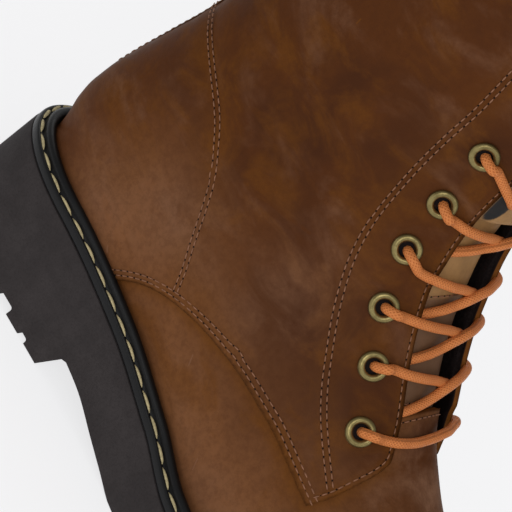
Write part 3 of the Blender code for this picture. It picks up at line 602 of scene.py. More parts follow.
def tube_mesh(path, radius, sides):
    """Round cord along points. Gives its points, faces, and how far along and around each point is."""
    ahead = unit(np.gradient(path, axis=0))
    across = np.zeros_like(path)
    across[0] = unit(np.cross(ahead[0], (0.0, 0.0, 1.0)))
    for i in range(1, len(path)):
        across[i] = unit(across[i - 1] - ahead[i] * np.dot(across[i - 1], ahead[i]))
    over = np.cross(ahead, across)
    angle = ring_angles(sides)
    ring = across[:, None] * np.cos(angle)[None, :, None] + over[:, None] * np.sin(angle)[None, :, None]
    points = (path[:, None] + ring * radius).reshape(-1, 3)
    run = np.repeat(run_of(path), sides)
    return points, capped_faces(len(path), sides), run, np.tile(angle, len(path))


def merged(meshes):
    """One set of points and faces from several."""
    points, faces, start = [], [], 0
    for some, quads in meshes:
        points.append(some)
        faces += [tuple(i + start for i in face) for face in quads]
        start += len(some)
    return np.concatenate(points), faces


def cut_away(piece, cutter):
    """Takes the cutter out of a piece and removes it."""
    modifier = piece.modifiers.new("cut", "BOOLEAN")
    modifier.object = cutter
    modifier.solver = "EXACT"
    graph = bpy.context.evaluated_depsgraph_get()
    whole = piece.data
    piece.data = bpy.data.meshes.new_from_object(piece.evaluated_get(graph))
    piece.data.name = piece.name
    piece.modifiers.clear()
    bpy.data.meshes.remove(whole)
    bpy.data.objects.remove(cutter)


def near(points, targets, reach):
    """Distance of each point from the nearest of the targets, at most reach."""
    tree = KDTree(len(targets))
    for i, target in enumerate(targets):
        tree.insert(target, i)
    tree.balance()
    return np.array([min(tree.find(point)[2], reach) for point in points])


class Panel:
    """A cut piece of leather that lies on the form: its outline is a closed row of (station, around)."""

    across = 44 * MM  # about how long the leather is for each 1 around

    def __init__(self, outline, spacing):
        self.form = the_form()
        self.ticks = np.linspace(first_station, last_station, 1200)
        self.runs = run_of(self.form.bare(self.ticks, np.full_like(self.ticks, 1.0)))
        flat = self.flat(np.asarray(outline))
        closed = np.concatenate([flat, flat[:1]])
        rows = []
        for one, other in zip(closed, closed[1:]):
            steps = max(1, int(math.ceil(np.linalg.norm(other - one) / spacing)))
            rows.append(one + (other - one) * np.arange(steps)[:, None] / steps)
        edge = np.concatenate(rows)
        low, high = edge.min(axis=0), edge.max(axis=0)
        ticks = [np.arange(start + spacing / 2, end, spacing) for start, end in zip(low, high)]
        inner = np.stack(np.meshgrid(*ticks, indexing="ij"), axis=-1).reshape(-1, 2)
        inner = inner[self.inside(inner, edge)]
        upright = [np.column_stack([rows, np.zeros(len(rows))]) for rows in (inner, edge)]
        inner = inner[near(*upright, spacing) > 0.6 * spacing]
        points = [Vector(p) / MM for p in np.concatenate([edge, inner])]
        count = len(edge)
        edges = [(i, (i + 1) % count) for i in range(count)]
        found, _, faces, origin, _, _ = delaunay_2d_cdt(points, edges, [], 1, 1e-7)
        self.places = self.unflat(np.array([tuple(p) for p in found]) * MM)
        rank = {first: i for i, firsts in enumerate(origin) for first in firsts}
        self.rim = np.array([rank[i] for i in range(count)])
        self.faces = [tuple(face) for face in faces]

    def flat(self, places):
        """Sheet of about the leather's own size, from places on the form."""
        return np.stack([np.interp(places[:, 0], self.ticks, self.runs), places[:, 1] * self.across], axis=1)

    def unflat(self, flat):
        return np.stack([np.interp(flat[:, 0], self.runs, self.ticks), flat[:, 1] / self.across], axis=1)

    @staticmethod
    def inside(points, ring):
        """Which points lie inside a closed ring."""
        result = np.zeros(len(points), dtype=bool)
        for (x0, y0), (x1, y1) in zip(ring, np.roll(ring, -1, axis=0)):
            if y0 == y1:
                continue
            crosses = (points[:, 1] > min(y0, y1)) & (points[:, 1] <= max(y0, y1))
            result ^= crosses & (points[:, 0] < x0 + (points[:, 1] - y0) / (y1 - y0) * (x1 - x0))
        return result

    def solid(self, top, thickness, roll, lift=0.0):
        """Points and faces of the leather, its upper face at top, with its edge rolled over by a radius."""
        station, around = self.places.T
        upper, normal = self.form.face(station, around, np.full(len(station), top) + lift)
        rim, count = self.rim, len(upper)
        edge, up = upper[rim], normal[rim]
        away = unit(np.cross(np.roll(edge, -1, axis=0) - np.roll(edge, 1, axis=0), up))
        one, other = self.flat(self.places[rim]).T
        away *= np.sign(np.sum(one * np.roll(other, -1) - other * np.roll(one, -1)))
        rows = [upper, upper - normal * thickness]
        for angle in np.radians((30, 60, 90)):
            rows.append(edge + away * (roll * math.sin(angle)) - up * (roll * (1 - math.cos(angle))))
        rows.append(edge + away * roll - up * max(thickness - roll, roll))
        rings = [rim] + [2 * count + len(rim) * i + np.arange(len(rim)) for i in range(4)] + [rim + count]
        faces = self.faces + [tuple(i + count for i in face[::-1]) for face in self.faces]
        for one, other in zip(rings, rings[1:]):
            quads = np.stack([one, other, np.roll(other, -1), np.roll(one, -1)], axis=1)
            faces += [tuple(quad) for quad in quads]
        return np.concatenate(rows), faces


# What a user would change


def length_property(name, description, default):
    return FloatProperty(name=name, description=description, subtype="DISTANCE", default=default)


class BootSizes(bpy.types.PropertyGroup):
    """Sizes of the boot and of its stitching."""

    outsole_length: length_property("Outsole length", "From heel to toe", outsole_high.x - outsole_low.x)
    boot_height: length_property("Boot height", "Up to the collar", upper_high.z)
    last_width: length_property("Last width", "Across the ball", 80 * MM)
    heel_top: length_property("Heel top", "Height of the sole's side at the heel", 34 * MM)
    forefoot_top: length_property("Forefoot top", "The same at the ball", 16.6 * MM)
    toe_spring: length_property("Toe spring", "Lift of the toe", 9 * MM)
    welt_reach: length_property("Welt reach", "How far the sole stands out", 7.1 * MM)
    welt_height: length_property("Welt height", "Thickness of the welt", 3 * MM)
    wall: length_property("Wall", "Thickness of vamp and lining", 1.8 * MM)
    overlay: length_property("Overlay", "How far the quarters stand out", 1 * MM)
    throat_gap: length_property("Throat gap", "Between the facings' edges at the vamp", 32 * MM)
    tongue_gap: length_property("Tongue gap", "Between the facings and the tongue", 0.7 * MM)
    tongue_thickness: length_property("Tongue thickness", "With its padding", 3.4 * MM)
    lace_radius: length_property("Lace radius", "Of the round cord", 1.6 * MM)
    eyelet_radius: length_property("Eyelet radius", "Outside", 4.75 * MM)
    eyelet_hole: length_property("Eyelet hole", "Radius inside", 2.5 * MM)
    seam_pitch: length_property("Seam pitch", "From stitch to stitch", 2.5 * MM)
    seam_gap: length_property("Seam gap", "Between the rows of a double seam", 1.8 * MM)
    welt_pitch: length_property("Welt pitch", "From stitch to stitch on the welt", 8.2 * MM)
    braid: IntProperty(name="Braid", description="Strands round the lace", default=16)


def colour_property(name, description, red, green, blue):
    return FloatVectorProperty(
        name=name, description=description, subtype="COLOR", min=0, max=1, default=seen(red, green, blue)
    )


class BootColours(bpy.types.PropertyGroup):
    """Colours of the boot."""

    leather: colour_property("Leather", "Main brown", 83, 46, 21)
    # Dark leather: a darker tone in the mottle and grain, and the painted shade along the welt
    leather_dark_and_shade: colour_property("Dark leather", "Where the oil lies deepest", 68, 37, 19)
    leather_amber: colour_property("Amber", "Pulled and worn leather", 104, 61, 20)
    # Pale leather: a paler tone low on the sides, in part painted bounce light from the floor
    leather_pale_and_bounce: colour_property("Pale leather", "Stretched over the foot", 124, 81, 50)
    # Bloom: rubbed leather in streaks and scuffs, and painted sheen in spots
    leather_bloom_and_sheen: colour_property("Bloom", "Rubbed leather", 126, 90, 68)
    leather_edge: colour_property("Edge", "Raw cut edges", 112, 68, 26)
    thread: colour_property("Thread", "Of the seams", 142, 98, 72)
    tongue: colour_property("Tongue", "Tan leather of the tongue", 158, 118, 70)
    tongue_low: colour_property("Lower tongue", "Where it meets the vamp", 106, 74, 48)
    lining: colour_property("Lining", "Fleece", 24, 18, 18)
    outsole: colour_property("Outsole", "Rubber", 46, 41, 41)
    welt: colour_property("Welt", "Rubber", 14, 14, 15)
    welt_thread: colour_property("Welt thread", "Waxed thread", 205, 190, 145)
    brass: colour_property("Brass", "Antique eyelets", 140, 126, 82)
    brass_dark: colour_property("Dark brass", "In the eyelets' hollows", 84, 72, 40)
    cord: colour_property("Cord", "Waxed lace", 214, 131, 72)
    # Dark cord: a darker tone in places, and painted shade between the braid's strands
    cord_dark_and_groove_shade: colour_property("Dark cord", "Between its strands", 188, 104, 52)
    floor: colour_property("Floor", "Of the lit table", 145, 145, 146)


# Finishes


def leather_shader(colours):
    """Oiled leather that pulls up amber: mottled, with edge and seam attributes from 0 to 1; other attributes
    add painted sheen in spots, paler leather with painted bounce light low on the sides, and painted shade
    along the welt.
    """
    shader = Shader("oiled_leather", Coat_Roughness=0.4, Specular_IOR_Level=0.02)
    clouds = shader.noise(17, 4, 0.6, 0.6)
    patches = shader.noise(42, 5, 0.62, 0.8, place=shader.stretched((1, 1, 1.5)))
    streaks = shader.noise(38, 5, 0.62, 0.5, place=shader.stretched((1, 0.8, 1.9), (0, 0.7, 0)))
    fine = shader.noise(420, 4, 0.7)
    base = shader.mix(clouds.between(0.36, 0.62), colour(colours.leather_dark_and_shade), colour(colours.leather))
    # pale: paler leather low on the sides, in part painted bounce light from the floor
    pale = shader.attribute("pale") * clouds.between(0.25, 0.6, 0.6, 1.0)
    base = shader.mix(pale, base, colour(colours.leather_pale_and_bounce))
    base = shader.mix(patches.between(0.44, 0.64) * 0.55, base, colour(colours.leather_amber))
    bloom_and_sheen = streaks.between(0.48, 0.76) * clouds.between(0.38, 0.56) * 0.42
    base = shader.mix(bloom_and_sheen, base, colour(colours.leather_bloom_and_sheen))
    base = shader.mix(shader.attribute("warmth") * 0.75, base, colour(colours.leather_amber))
    # painted sheen in spots on the vamp and quarters
    bloom_and_sheen = shader.attribute("bloom_and_sheen") * patches.between(0.3, 0.6)
    base = shader.mix(bloom_and_sheen, base, colour(colours.leather_bloom_and_sheen))
    # painted shade: darker leather within a few mm of the welt, where upper and welt meet
    base = shader.mix(shader.attribute("shade") * 0.6, base, colour(colours.leather_dark_and_shade))
    base = shader.mix(shader.attribute("rim"), base, colour(colours.leather_edge))
    base = shader.mix(fine.between(0.35, 0.7) * 0.3, base, colour(colours.leather_dark_and_shade))
    # inside: the lining's black on the leather's underside; on the quarters also painted shade in the eyelet
    # holes, and on the back strip along its edges
    base = shader.mix(shader.attribute("inside"), base, colour(colours.lining))
    marks = [  # start, end, width and tint of small scuffs, in mm from the sole's back
        ((53.9, -29.6, 39.8), (55.2, -29.8, 38.6), 0.5, colours.leather_bloom_and_sheen),
        ((97.6, -34.2, 47.2), (99.4, -34.4, 44.2), 0.35, colours.leather_bloom_and_sheen),
        ((124.6, -36.4, 31.8), (126.4, -36.6, 28.6), 0.35, colours.leather_bloom_and_sheen),
        ((46.4, -33.2, 147.9), (46.1, -33.2, 149.6), 0.4, colours.leather_amber),
        ((74.2, -33.5, 94.5), (88.4, -33.5, 99.9), 0.9, colours.leather),
    ]
    shift = the_form().shift
    for start, end, width, tint in marks:
        ends = [tuple(np.array(p) * MM + shift) for p in (start, end)]
        flat = shader.vector("MULTIPLY", shader.place, (1.0, 0.15, 1.0))
        ends = [(x, y * 0.15, z) for x, y, z in ends]
        mark = shader.to_segment(flat, *ends).between(width * MM, 0.2 * width * MM)
        base = shader.mix(mark * fine.between(0.3, 0.5) * 0.7, base, colour(tint))
    shader.feed(Base_Color=base, Roughness=patches.between(0.3, 0.75, 0.5, 0.66) - fine * 0.08)
    shader.feed(Coat_Weight=clouds.between(0.35, 0.7, 0.04, 0.02))
    wrinkle = shader.noise(130, 5, 0.6, 1.2, place=shader.stretched((1, 0.6, 2.6), (0, -0.5, 0)))
    grain = shader.cells(1500, "SMOOTH_F1")
    shader.bump((wrinkle, 0.5 * MM, 0.35), (grain, 0.12 * MM, 0.3), (shader.noise(3200, 3), 0.06 * MM, 0.3))
    return shader.material


def plain_leather(name, base, low, roughness):
    """Tongue leather: smoother, with its lower part in another colour by the attribute low."""
    shader = Shader(name, Specular_IOR_Level=0.35)
    clouds = shader.noise(60, 5, 0.6, 0.5)
    fine = shader.noise(600, 4, 0.7)
    paint = shader.mix(shader.attribute("low"), colour(base), colour(low))
    # painted shade of the keeper's slits
    paint = shader.mix(shader.attribute("slit_shade"), paint, (0.002, 0.001, 0.001, 1))
    deep = shader.mix(0.5, paint, (0.04, 0.02, 0.01, 1))
    paint = shader.mix(clouds.between(0.45, 0.7) * 0.4 + fine.between(0.4, 0.7) * 0.25, paint, deep)
    shader.feed(Base_Color=paint, Roughness=clouds.between(0.3, 0.7, roughness, roughness + 0.12))
    wrinkle = shader.noise(150, 4, 0.6, 0.5, place=shader.stretched((2.0, 0.5, 2.0)))
    shader.bump((wrinkle, 0.4 * MM, 0.3), (shader.cells(1700, "SMOOTH_F1"), 0.1 * MM, 0.35))
    return shader.material


def rubber_shader(name, base, roughness, mottle):
    shader = Shader(name, Specular_IOR_Level=0.25)
    clouds = shader.noise(90, 6, 0.7)
    specks = shader.noise(1300, 3, 0.8)
    pale = tuple(min(1.0, v * 1.55 + 0.004) for v in base)
    dark = tuple(v * 0.72 for v in base)
    paint = shader.mix(clouds.between(0.35, 0.7) * mottle, colour(base), colour(pale))
    paint = shader.mix(specks.between(0.45, 0.75) * mottle, paint, colour(dark))
    shader.feed(Base_Color=paint, Roughness=specks.between(0.3, 0.7, roughness - 0.06, roughness + 0.05))
    shader.bump((specks, 0.12 * MM, 0.35), (clouds, 0.3 * MM, 0.15))
    return shader.material


def thread_shader(name, base, roughness):
    shader = Shader(name, Specular_IOR_Level=0.3)
    clouds = shader.noise(900, 3, 0.6)
    dark = tuple(v * 0.45 for v in base)
    paint = shader.mix(clouds.between(0.35, 0.7) * 0.6, colour(base), colour(dark))
    shader.feed(Base_Color=paint, Roughness=clouds.between(0.3, 0.7, roughness, roughness + 0.1))
    shader.bump((shader.noise(2600, 2), 0.15 * MM, 0.5))
    return shader.material


def fleece_shader(colours):
    shader = Shader("fleece_lining", Roughness=0.95, Specular_IOR_Level=0.1)
    tufts = shader.cells(620, "F1")
    fuzz = shader.noise(1500, 5, 0.8)
    paint = shader.mix(fuzz.between(0.4, 0.8) * 0.5, colour(colours.lining), (0.035, 0.024, 0.022, 1))
    shader.feed(Base_Color=paint)
    shader.bump((tufts, 0.8 * MM, 0.8), (fuzz, 0.5 * MM, 0.8))
    return shader.material


def brass_shader(colours):
    shader = Shader("antique_brass", Metallic=0.9, Specular_IOR_Level=0.5)
    clouds = shader.noise(420, 4, 0.6)
    paint = shader.mix(clouds.between(0.35, 0.7) * 0.5, colour(colours.brass), colour(colours.brass_dark))
    # painted shade inside the eyelets' barrels
    paint = shader.mix(shader.attribute("shaded_hollow"), paint, colour(seen(30, 24, 16)))
    shader.feed(Base_Color=paint, Roughness=clouds.between(0.3, 0.7, 0.3, 0.42))
    shader.bump((shader.noise(2200, 2), 0.05 * MM, 0.3))
    return shader.material


def cord_shader(colours, braid):
    """Waxed round braid: two sets of strands that cross, along and round the cord."""
    shader = Shader("waxed_cord", Specular_IOR_Level=0.2)
    run, turn = shader.attribute("run"), shader.attribute("turn")
    one = (run * 6400 + turn * (braid / 2)).sine()
    other = (run * 6400 - turn * (braid / 2)).sine()
    weave = (one.largest(other) + 1) * 0.5
    clouds = shader.noise(300, 4, 0.6)
    # painted shade between the strands, where the weave dips
    paint = shader.mix(weave.between(0.15, 0.75), colour(colours.cord_dark_and_groove_shade), colour(colours.cord))
    deep = shader.mix(0.6, paint, colour(colours.cord_dark_and_groove_shade))
    paint = shader.mix(clouds.between(0.4, 0.75) * 0.55, paint, deep)
    shader.feed(Base_Color=paint, Roughness=weave.between(0.0, 1.0, 0.62, 0.46))
    shader.bump((weave, 0.35 * MM, 0.7), (shader.noise(2600, 3), 0.08 * MM, 0.4))
    return shader.material


def flat_shader(name, base, roughness):
    shader = Shader(name, Base_Color=colour(base), Specular_IOR_Level=0.2)
    shader.feed(Roughness=shader.noise(40, 2).between(0.3, 0.7, roughness - 0.03, roughness))
    return shader.material


# What the operators share

made = {}


def sizes():
    return bpy.context.scene.boot_sizes


def colours():
    return bpy.context.scene.boot_colours


def the_form():
    if "form" not in made:
        made["form"] = Form(sizes())
    return made["form"]


def finish(name, maker):
    """A material by name, made once."""
    if name not in made:
        made[name] = maker()
    return made[name]


def leather():
    return finish("leather", lambda: leather_shader(colours()))


def thread():
    return finish("thread", lambda: thread_shader("seam_thread", tuple(colours().thread), 0.62))


# near black: painted shade of the stitch holes
def pinhole_shade():
    return finish("pinhole_shade", lambda: flat_shader("painted_pinhole_shade", (0.012, 0.006, 0.004), 0.9))


def hill(distance, width, power=2):
    """1 at no distance, and smoothly to 0 beyond a width."""
    return np.exp(-((distance / width) ** power))


def offset_line(places, gap):
    """A line of (station, around) beside another, to the left of its way in metres on the form."""
    form, step = the_form(), 0.002
    base = form.bare(*places.T)
    per_station = np.linalg.norm(form.bare(places[:, 0] + step, places[:, 1]) - base, axis=1) / step
    per_around = np.linalg.norm(form.bare(places[:, 0], places[:, 1] * (1 - step)) - base, axis=1)
    per_around /= np.maximum(np.abs(places[:, 1]) * step, 1e-9)
    scale = np.stack([per_station, per_around], axis=1)
    way = unit(np.gradient(places, axis=0) * scale)
    return places + np.stack([-way[:, 1], way[:, 0]], axis=1) * gap / scale


def line_from_side(rows, side, spacing=1 * MM):
    points = resample(the_form().in_metres(rows), spacing)
    return the_form().from_side(points, side)


def facing_line(turns, side, extra=0.0):
    """The facing's edge at turns, moved aside by extra."""
    half_gap = smooth(FACING_GAP, SIDE_NAMES[side], turns) * MM + extra
    return np.stack([the_form().station_at(turns), the_form().around_at(turns, side * half_gap)], axis=1)


def quarter_lines(side):
    """The quarter's foot, front and facing edges, from the welt round to the collar."""
    form = the_form()
    foot = line_from_side(QUARTER_FOOT, side)
    front = line_from_side(FACING_FRONT, side)
    low_turn = float(form.turn_of(*form.in_metres(FACING_FRONT)[-1]))
    facing = facing_line(np.linspace(low_turn + facing_join, 1.0, 110), side)
    join = resample(np.concatenate([front[-12:-9], facing[2:4]]), count=14)
    return foot, np.concatenate([front[:-12], join]), facing[4:]


def quarter_outline(side):
    foot, front, facing = quarter_lines(side)
    seam = edge_around * side
    collar = np.linspace((2.0, facing[-1, 1]), (2.0, seam), 60)
    back = np.linspace((2.0, seam), (1.0, seam), 140)
    heel = np.linspace((1.0, seam), (foot[0, 0] + 0.01, seam), 60)
    return np.concatenate([foot, front[1:], facing, collar[1:], back[1:], heel[1:]])


def vamp_outline():
    """From the toe back to the heel, under the quarters, with the throat's edge across the tongue."""
    form = the_form()
    wings = {}
    for side in SIDE_NAMES:
        foot, front, _ = quarter_lines(side)
        wings[side] = offset_line(np.concatenate([foot, front[1:14]]), vamp_under * side)[2:]
    throat = float(form.station_at(vamp_edge_turn))
    reach = sizes().throat_gap / 2 + vamp_edge_reach
    start, end = form.around_at(vamp_edge_turn, np.array([-reach, reach]))
    across = np.linspace((throat, start), (throat, end), 50)
    heel = min(wing[0, 0] for wing in wings.values())
    down = np.linspace((outline_end, -edge_around), (heel, -edge_around), 200)
    up = wings[LATERAL][wings[LATERAL][:, 0] > throat - 0.2]
    toe = np.linspace((outline_end, edge_around), (outline_end, -edge_around), 60)
    mirror = (1, -1)
    return np.concatenate([down, up, across, up[::-1] * mirror, down[::-1] * mirror, toe[1:-1]])


def leather_attributes(points, edges, seams, count, sheen_spots=()):
    """Numbers from 0 to 1 for a leather piece's points: the first count are its faces, the rest its rim.

    Warmth is by edges and seams. The spots give painted sheen; pale is paler leather low on the sides, in
    part painted bounce light from the floor; shade is painted shade along the welt.
    """
    edge, seam = near(points, edges, 30 * MM), near(points, seams, 30 * MM)
    warmth = hill(edge, 2.6 * MM) * 0.8 + hill(seam, 5 * MM) * 0.35
    # spots of painted sheen
    bloom_and_sheen = np.zeros(len(points))
    for centre, reach, strength in sheen_spots:
        bloom_and_sheen += strength * hill(np.linalg.norm((points - centre) / reach, axis=1), 1)
    rim, inside = np.zeros(len(points)), np.zeros(len(points))
    rim[count:] = 1.0
    inside[count // 2 : count] = 1.0
    x = points[:, 0] - the_form().shift[0]
    up = points[:, 2] - the_form().feather_z(x)
    # paler leather low on the sides, in part painted bounce light from the floor
    pale = np.clip((60 * MM - up) / (45 * MM), 0, 1) * np.interp(x, (18 * MM, 48 * MM), (0.1, 1))
    # painted shade along the welt, fading within a few mm
    shade = np.exp(-np.clip(up, 0, None) / (3 * MM)) * 0.6
    values = {"warmth": np.clip(warmth, 0, 1), "bloom_and_sheen": np.clip(bloom_and_sheen, 0, 1), "pale": pale, "shade": shade}
    return {**values, "rim": rim, "inside": inside}


def sheen_spots_at(rows, side=1):
    """Spots of painted sheen from their centres, reaches and strengths, measured from the sole's back."""
    shift, mirror = the_form().shift, (1, side, 1)
    return [(np.array(at) * mirror + shift, np.array(reach), strength) for at, reach, strength in rows]


def stitches(name, runs, length, width, material, slot, proud=0.5, holes=True):
    """Threads laid along runs of (points, normals), a stitch on each point, with a near black cone at each
    end as the painted shade of its hole.
    """
    angle = ring_angles(thread_sides)
    along = np.linspace(-1, 1, thread_rows)
    swell = np.sqrt(np.clip(1 - (np.abs(along) * 0.97) ** 2.6, 0, 1))
    ring = (np.repeat(along, thread_sides), np.outer(swell, np.cos(angle)), np.outer(swell, np.sin(angle)))
    template = np.stack([column.reshape(-1) for column in ring], axis=1) / 2
    bend = (1 - (template[:, 0] * 2) ** 2)[:, None] * thread_bend
    quads = capped_faces(thread_rows, thread_sides)
    cone = [(i, (i + 1) % thread_sides, thread_sides) for i in range(thread_sides)]
    cone.append(tuple(range(thread_sides))[::-1])
    threads, cones = [], []
    for points, normals in runs:
        way = unit(np.gradient(points, axis=0))
        side = unit(np.cross(normals, way))
        up = np.cross(way, side)
        for at, ahead, across, over in zip(points, way, side, up):
            axes = np.stack([ahead * length, across * width, over * width * thread_flatness])
            threads.append((template @ axes + at + over * width * (proud - thread_sink + bend), quads))
        for at, ahead, across, over in zip((points[1:] + points[:-1]) / 2, way, side, up):
            # small dark cones at the stitch ends: painted shade of the needle holes
            spokes = ahead[None] * np.cos(angle)[:, None] + across[None] * np.sin(angle)[:, None]
            low = at + spokes * hole_radius + over * hole_low
            cones.append((np.concatenate([low, at[None] + over * hole_high]), cone))
    make_piece(name, *merged(threads), material, slot)
    if holes:
        make_piece(name + "_holes", *merged(cones), pinhole_shade(), slot)


def run_along(places, out):
    """Points and normals at the stitches' pitch along a line on the form."""
    form = the_form()
    outs = out + form.flare_on(*places.T)
    run = run_of(form.face(*places.T, outs)[0])
    at = np.linspace(0, run[-1], max(2, int(run[-1] / sizes().seam_pitch)))
    return form.face(*(np.interp(at, run, column) for column in (*places.T, outs)))


def sew(name, runs, slot="oiled_leather"):
    """Stitches of the seams' own thread along runs."""
    stitches(name, runs, stitch_share * sizes().seam_pitch, thread_width, thread(), slot)


def cross_runs(turns, half, count, out):
    """Points and normals straight across the front at turns."""
    aside = np.linspace(-half, half, count) * MM
    return [the_form().over(np.full(count, turn), aside, out) for turn in turns]


# Operators


class BOOT_OT_outsole(bpy.types.Operator):
    """Rubber outsole with heel breast, shank, side lugs and tread grooves."""

    bl_idname = "boot.outsole"
    bl_label = "Outsole"

    steps = 220
    under_welt = 0.3 * MM
    heel_length, heel_draft = 70.6 * MM, 0.25 * MM
    breast_rise, breast_lean, breast_top = 10 * MM, 4.5 * MM, 9 * MM
    shank_end, cutter_below, cutter_beyond = 121 * MM, -2 * MM, 4 * MM
    pitch = 25 * MM
    wide = (45.4 * MM, 7.4 * MM, 3.3 * MM)  # where, how wide and how deep
    narrow = (59.7 * MM, 3.8 * MM, 2.1 * MM)
    tread_start, tread_end, groove_after = 134 * MM, 246 * MM, 14.3 * MM
    reach = 12 * MM
    rounding = 0.9 * MM
    groove_rounding, groove_below = 0.9 * MM, -3 * MM

    def execute(self, context):
        form, size = the_form(), sizes()
        x = form.outline(size.welt_reach, self.steps)[:, 0] - form.shift[0]
        floor, top = form.toe_lift(x), form.sole_top(x) - self.under_welt
        rows = []
        for inset, share, lift in (
            (self.rounding, 0, 0),
            (0.3 * self.rounding, 0, 0.3),
            (0, 0, 1),
            (self.heel_draft, 0.5, 0),
            (0, 1, -1.2),
            (0.3 * self.rounding, 1, -0.35),
            (self.rounding, 1, 0),
        ):
            ring = form.outline(size.welt_reach - inset, self.steps)
            rows.append(np.column_stack([ring, floor + (top - floor) * share + lift * self.rounding]))
        count = 2 * self.steps
        faces = grid_faces(len(rows), count, closed=True)
        for start in (0, (len(rows) - 1) * count):
            for i in range(self.steps):
                corners = [i, i + 1, (count - i - 1) % count, (count - i) % count]
                faces.append(tuple(start + c for k, c in enumerate(corners) if c not in corners[:k]))
        material = rubber_shader("outsole_rubber", tuple(colours().outsole), 0.82, 0.55)
        points = np.concatenate(rows)
        piece = make_piece(
            "outsole_rubber", points, faces, material, "outsole_rubber", ["outsole"], flat=True
        )
        cut_away(piece, self.shank_cutter(form))
        cut_away(piece, self.notch_cutter(form, size))
        piece.data.polygons.foreach_set("use_smooth", [True] * len(piece.data.polygons))
        piece.data.set_sharp_from_angle(angle=math.radians(38))
        return {"FINISHED"}

    def cutter(self, form, work):
        bmesh.ops.recalc_face_normals(work, faces=work.faces)
        bmesh.ops.translate(work, verts=work.verts, vec=form.shift)
        mesh = bpy.data.meshes.new("cutter")
        work.to_mesh(mesh)
        work.free()
        piece = bpy.data.objects.new("cutter", mesh)
        bpy.context.collection.objects.link(piece)
        piece.hide_render = True
        return piece

    def add_block(self, work, outline, near_y, far_y):
        """Block with an outline in side view, from one y to another."""
        rows = [[work.verts.new((x, y, z)) for x, z in outline] for y in (near_y, far_y)]
        for i in range(len(outline)):
            j = (i + 1) % len(outline)
            work.faces.new((rows[0][i], rows[0][j], rows[1][j], rows[1][i]))
        for row in rows:
            work.faces.new(row)

    def shank_cutter(self, form):
        start = self.heel_length + self.breast_lean
        slant = self.breast_lean / self.breast_rise
        outline = [(self.heel_length + slant * z, z) for z in (self.cutter_below, self.breast_top)]
        for share in np.linspace(0.03, 1, 24):
            rise = float(smooth(SHANK, "rise", share)) * self.breast_rise
            outline.append((start + share * (self.shank_end - start), rise))
        outline.append((self.shank_end + self.cutter_beyond, self.cutter_below))
        work = bmesh.new()
        self.add_block(work, outline, -form.width, form.width)
        return self.cutter(form, work)

    def notch_cutter(self, form, size):
        """Wide notches in both sides and narrow grooves right across."""
        work = bmesh.new()
        last, wide, deep = self.wide
        for x in [last, last - self.pitch, *np.arange(self.tread_start, self.tread_end, self.pitch)]:
            middle = x + wide / 2
            top = float(form.toe_lift(middle)) + deep
            for name, side in SIDES.items():
                inner = float(form.feather_half(middle, name)) + size.welt_reach - self.reach
                inner = float(form.centre_y(middle)) + side * inner
                self.add_notch(work, x, x + wide, *sorted((inner, side * form.width)), top)
        last, wide, deep = self.narrow
        grooves = np.arange(self.tread_start + self.groove_after, self.tread_end, self.pitch)
        for x in [last, last - self.pitch, last - 2 * self.pitch, *grooves]:
            top = float(form.toe_lift(x + wide / 2)) + deep
            self.add_notch(work, x, x + wide, -form.width, form.width, top)
        return self.cutter(form, work)

    def add_notch(self, work, start, end, near_y, far_y, top):
        """Slot with rounded upper corners."""
        corner = min(self.groove_rounding, 0.4 * (end - start))
        outline = [(start, self.groove_below), (end, self.groove_below)]
        for middle, first in ((end - corner, 0), (start + corner, 90)):
            for angle in range(first, first + 91, 30):
                turn = math.radians(angle)
                outline.append((middle + corner * math.cos(turn), top - corner + corner * math.sin(turn)))
        self.add_block(work, outline, near_y, far_y)


class BOOT_OT_welt(bpy.types.Operator):
    """Storm welt with its ledge, groove and bead, and the lock stitches in the groove."""

    bl_idname = "boot.welt"
    bl_label = "Welt"

    steps = 260
    inner_reach, bead_gap, bead_radius, bead_proud = 2.2 * MM, 1.1 * MM, 1.75 * MM, 0.6
    ledge = (  # beyond the bead, as shares of the welt's reach and height
        (0.72, 0.78), (0.78, 0.82), (0.83, 0.93), (0.88, 0.97), (0.93, 0.93),
        (0.965, 0.82), (0.985, 0.62), (0.985, 0.18), (0.96, 0),
    )
    stitch_after_bead, stitch_height, stitch_width = 0.85 * MM, 0.8, 1.25 * MM

    def execute(self, context):
        form, size = the_form(), sizes()
        centre = self.bead_gap + self.bead_radius
        height, reach = size.welt_height, size.welt_reach
        middle = height + self.bead_proud * self.bead_radius
        profile = [(-self.inner_reach, 0), (-self.inner_reach, height), (self.bead_gap, height)]
        for angle in range(165, -26, -15):
            turn = math.radians(angle)
            out, up = self.bead_radius * math.cos(turn), self.bead_radius * math.sin(turn)
            profile.append((centre + out, middle + up))
        profile.append((centre + 1.08 * self.bead_radius, 0.84 * height))
        profile += [(out * reach, up * height) for out, up in self.ledge]
        rows = []
        for distance, up in profile:
            ring = form.outline(distance, self.steps)
            rows.append(np.column_stack([ring, form.sole_top(ring[:, 0] - form.shift[0]) + up]))
        material = rubber_shader("welt_rubber", tuple(colours().welt), 0.42, 0.25)
        faces = loop_faces(len(rows), 2 * self.steps)
        make_piece("storm_welt", np.concatenate(rows), faces, material, "welt_rubber", ["welt"])
        self.stitch(form, size, centre)
        return {"FINISHED"}

    def stitch(self, form, size, centre):
        ring = form.outline(centre + self.bead_radius + self.stitch_after_bead, 600)
        heights = form.sole_top(ring[:, 0] - form.shift[0]) + self.stitch_height * size.welt_height
        ring = np.column_stack([ring, heights])
        closed = np.concatenate([ring, ring[:1]])
        run = run_of(closed)
        count = int(round(run[-1] / size.welt_pitch))
        at = (np.arange(count) + 0.5) * run[-1] / count
        points = np.stack([np.interp(at, run, column) for column in closed.T], axis=1)
        normals = np.tile((0.0, 0.0, 1.0), (count, 1))
        material = thread_shader("welt_thread", tuple(colours().welt_thread), 0.6)
        stitches(
            "welt_stitches", [(points, normals)], 0.88 * size.welt_pitch, self.stitch_width, material,
            "waxed_cord", proud=0.55, holes=False,
        )


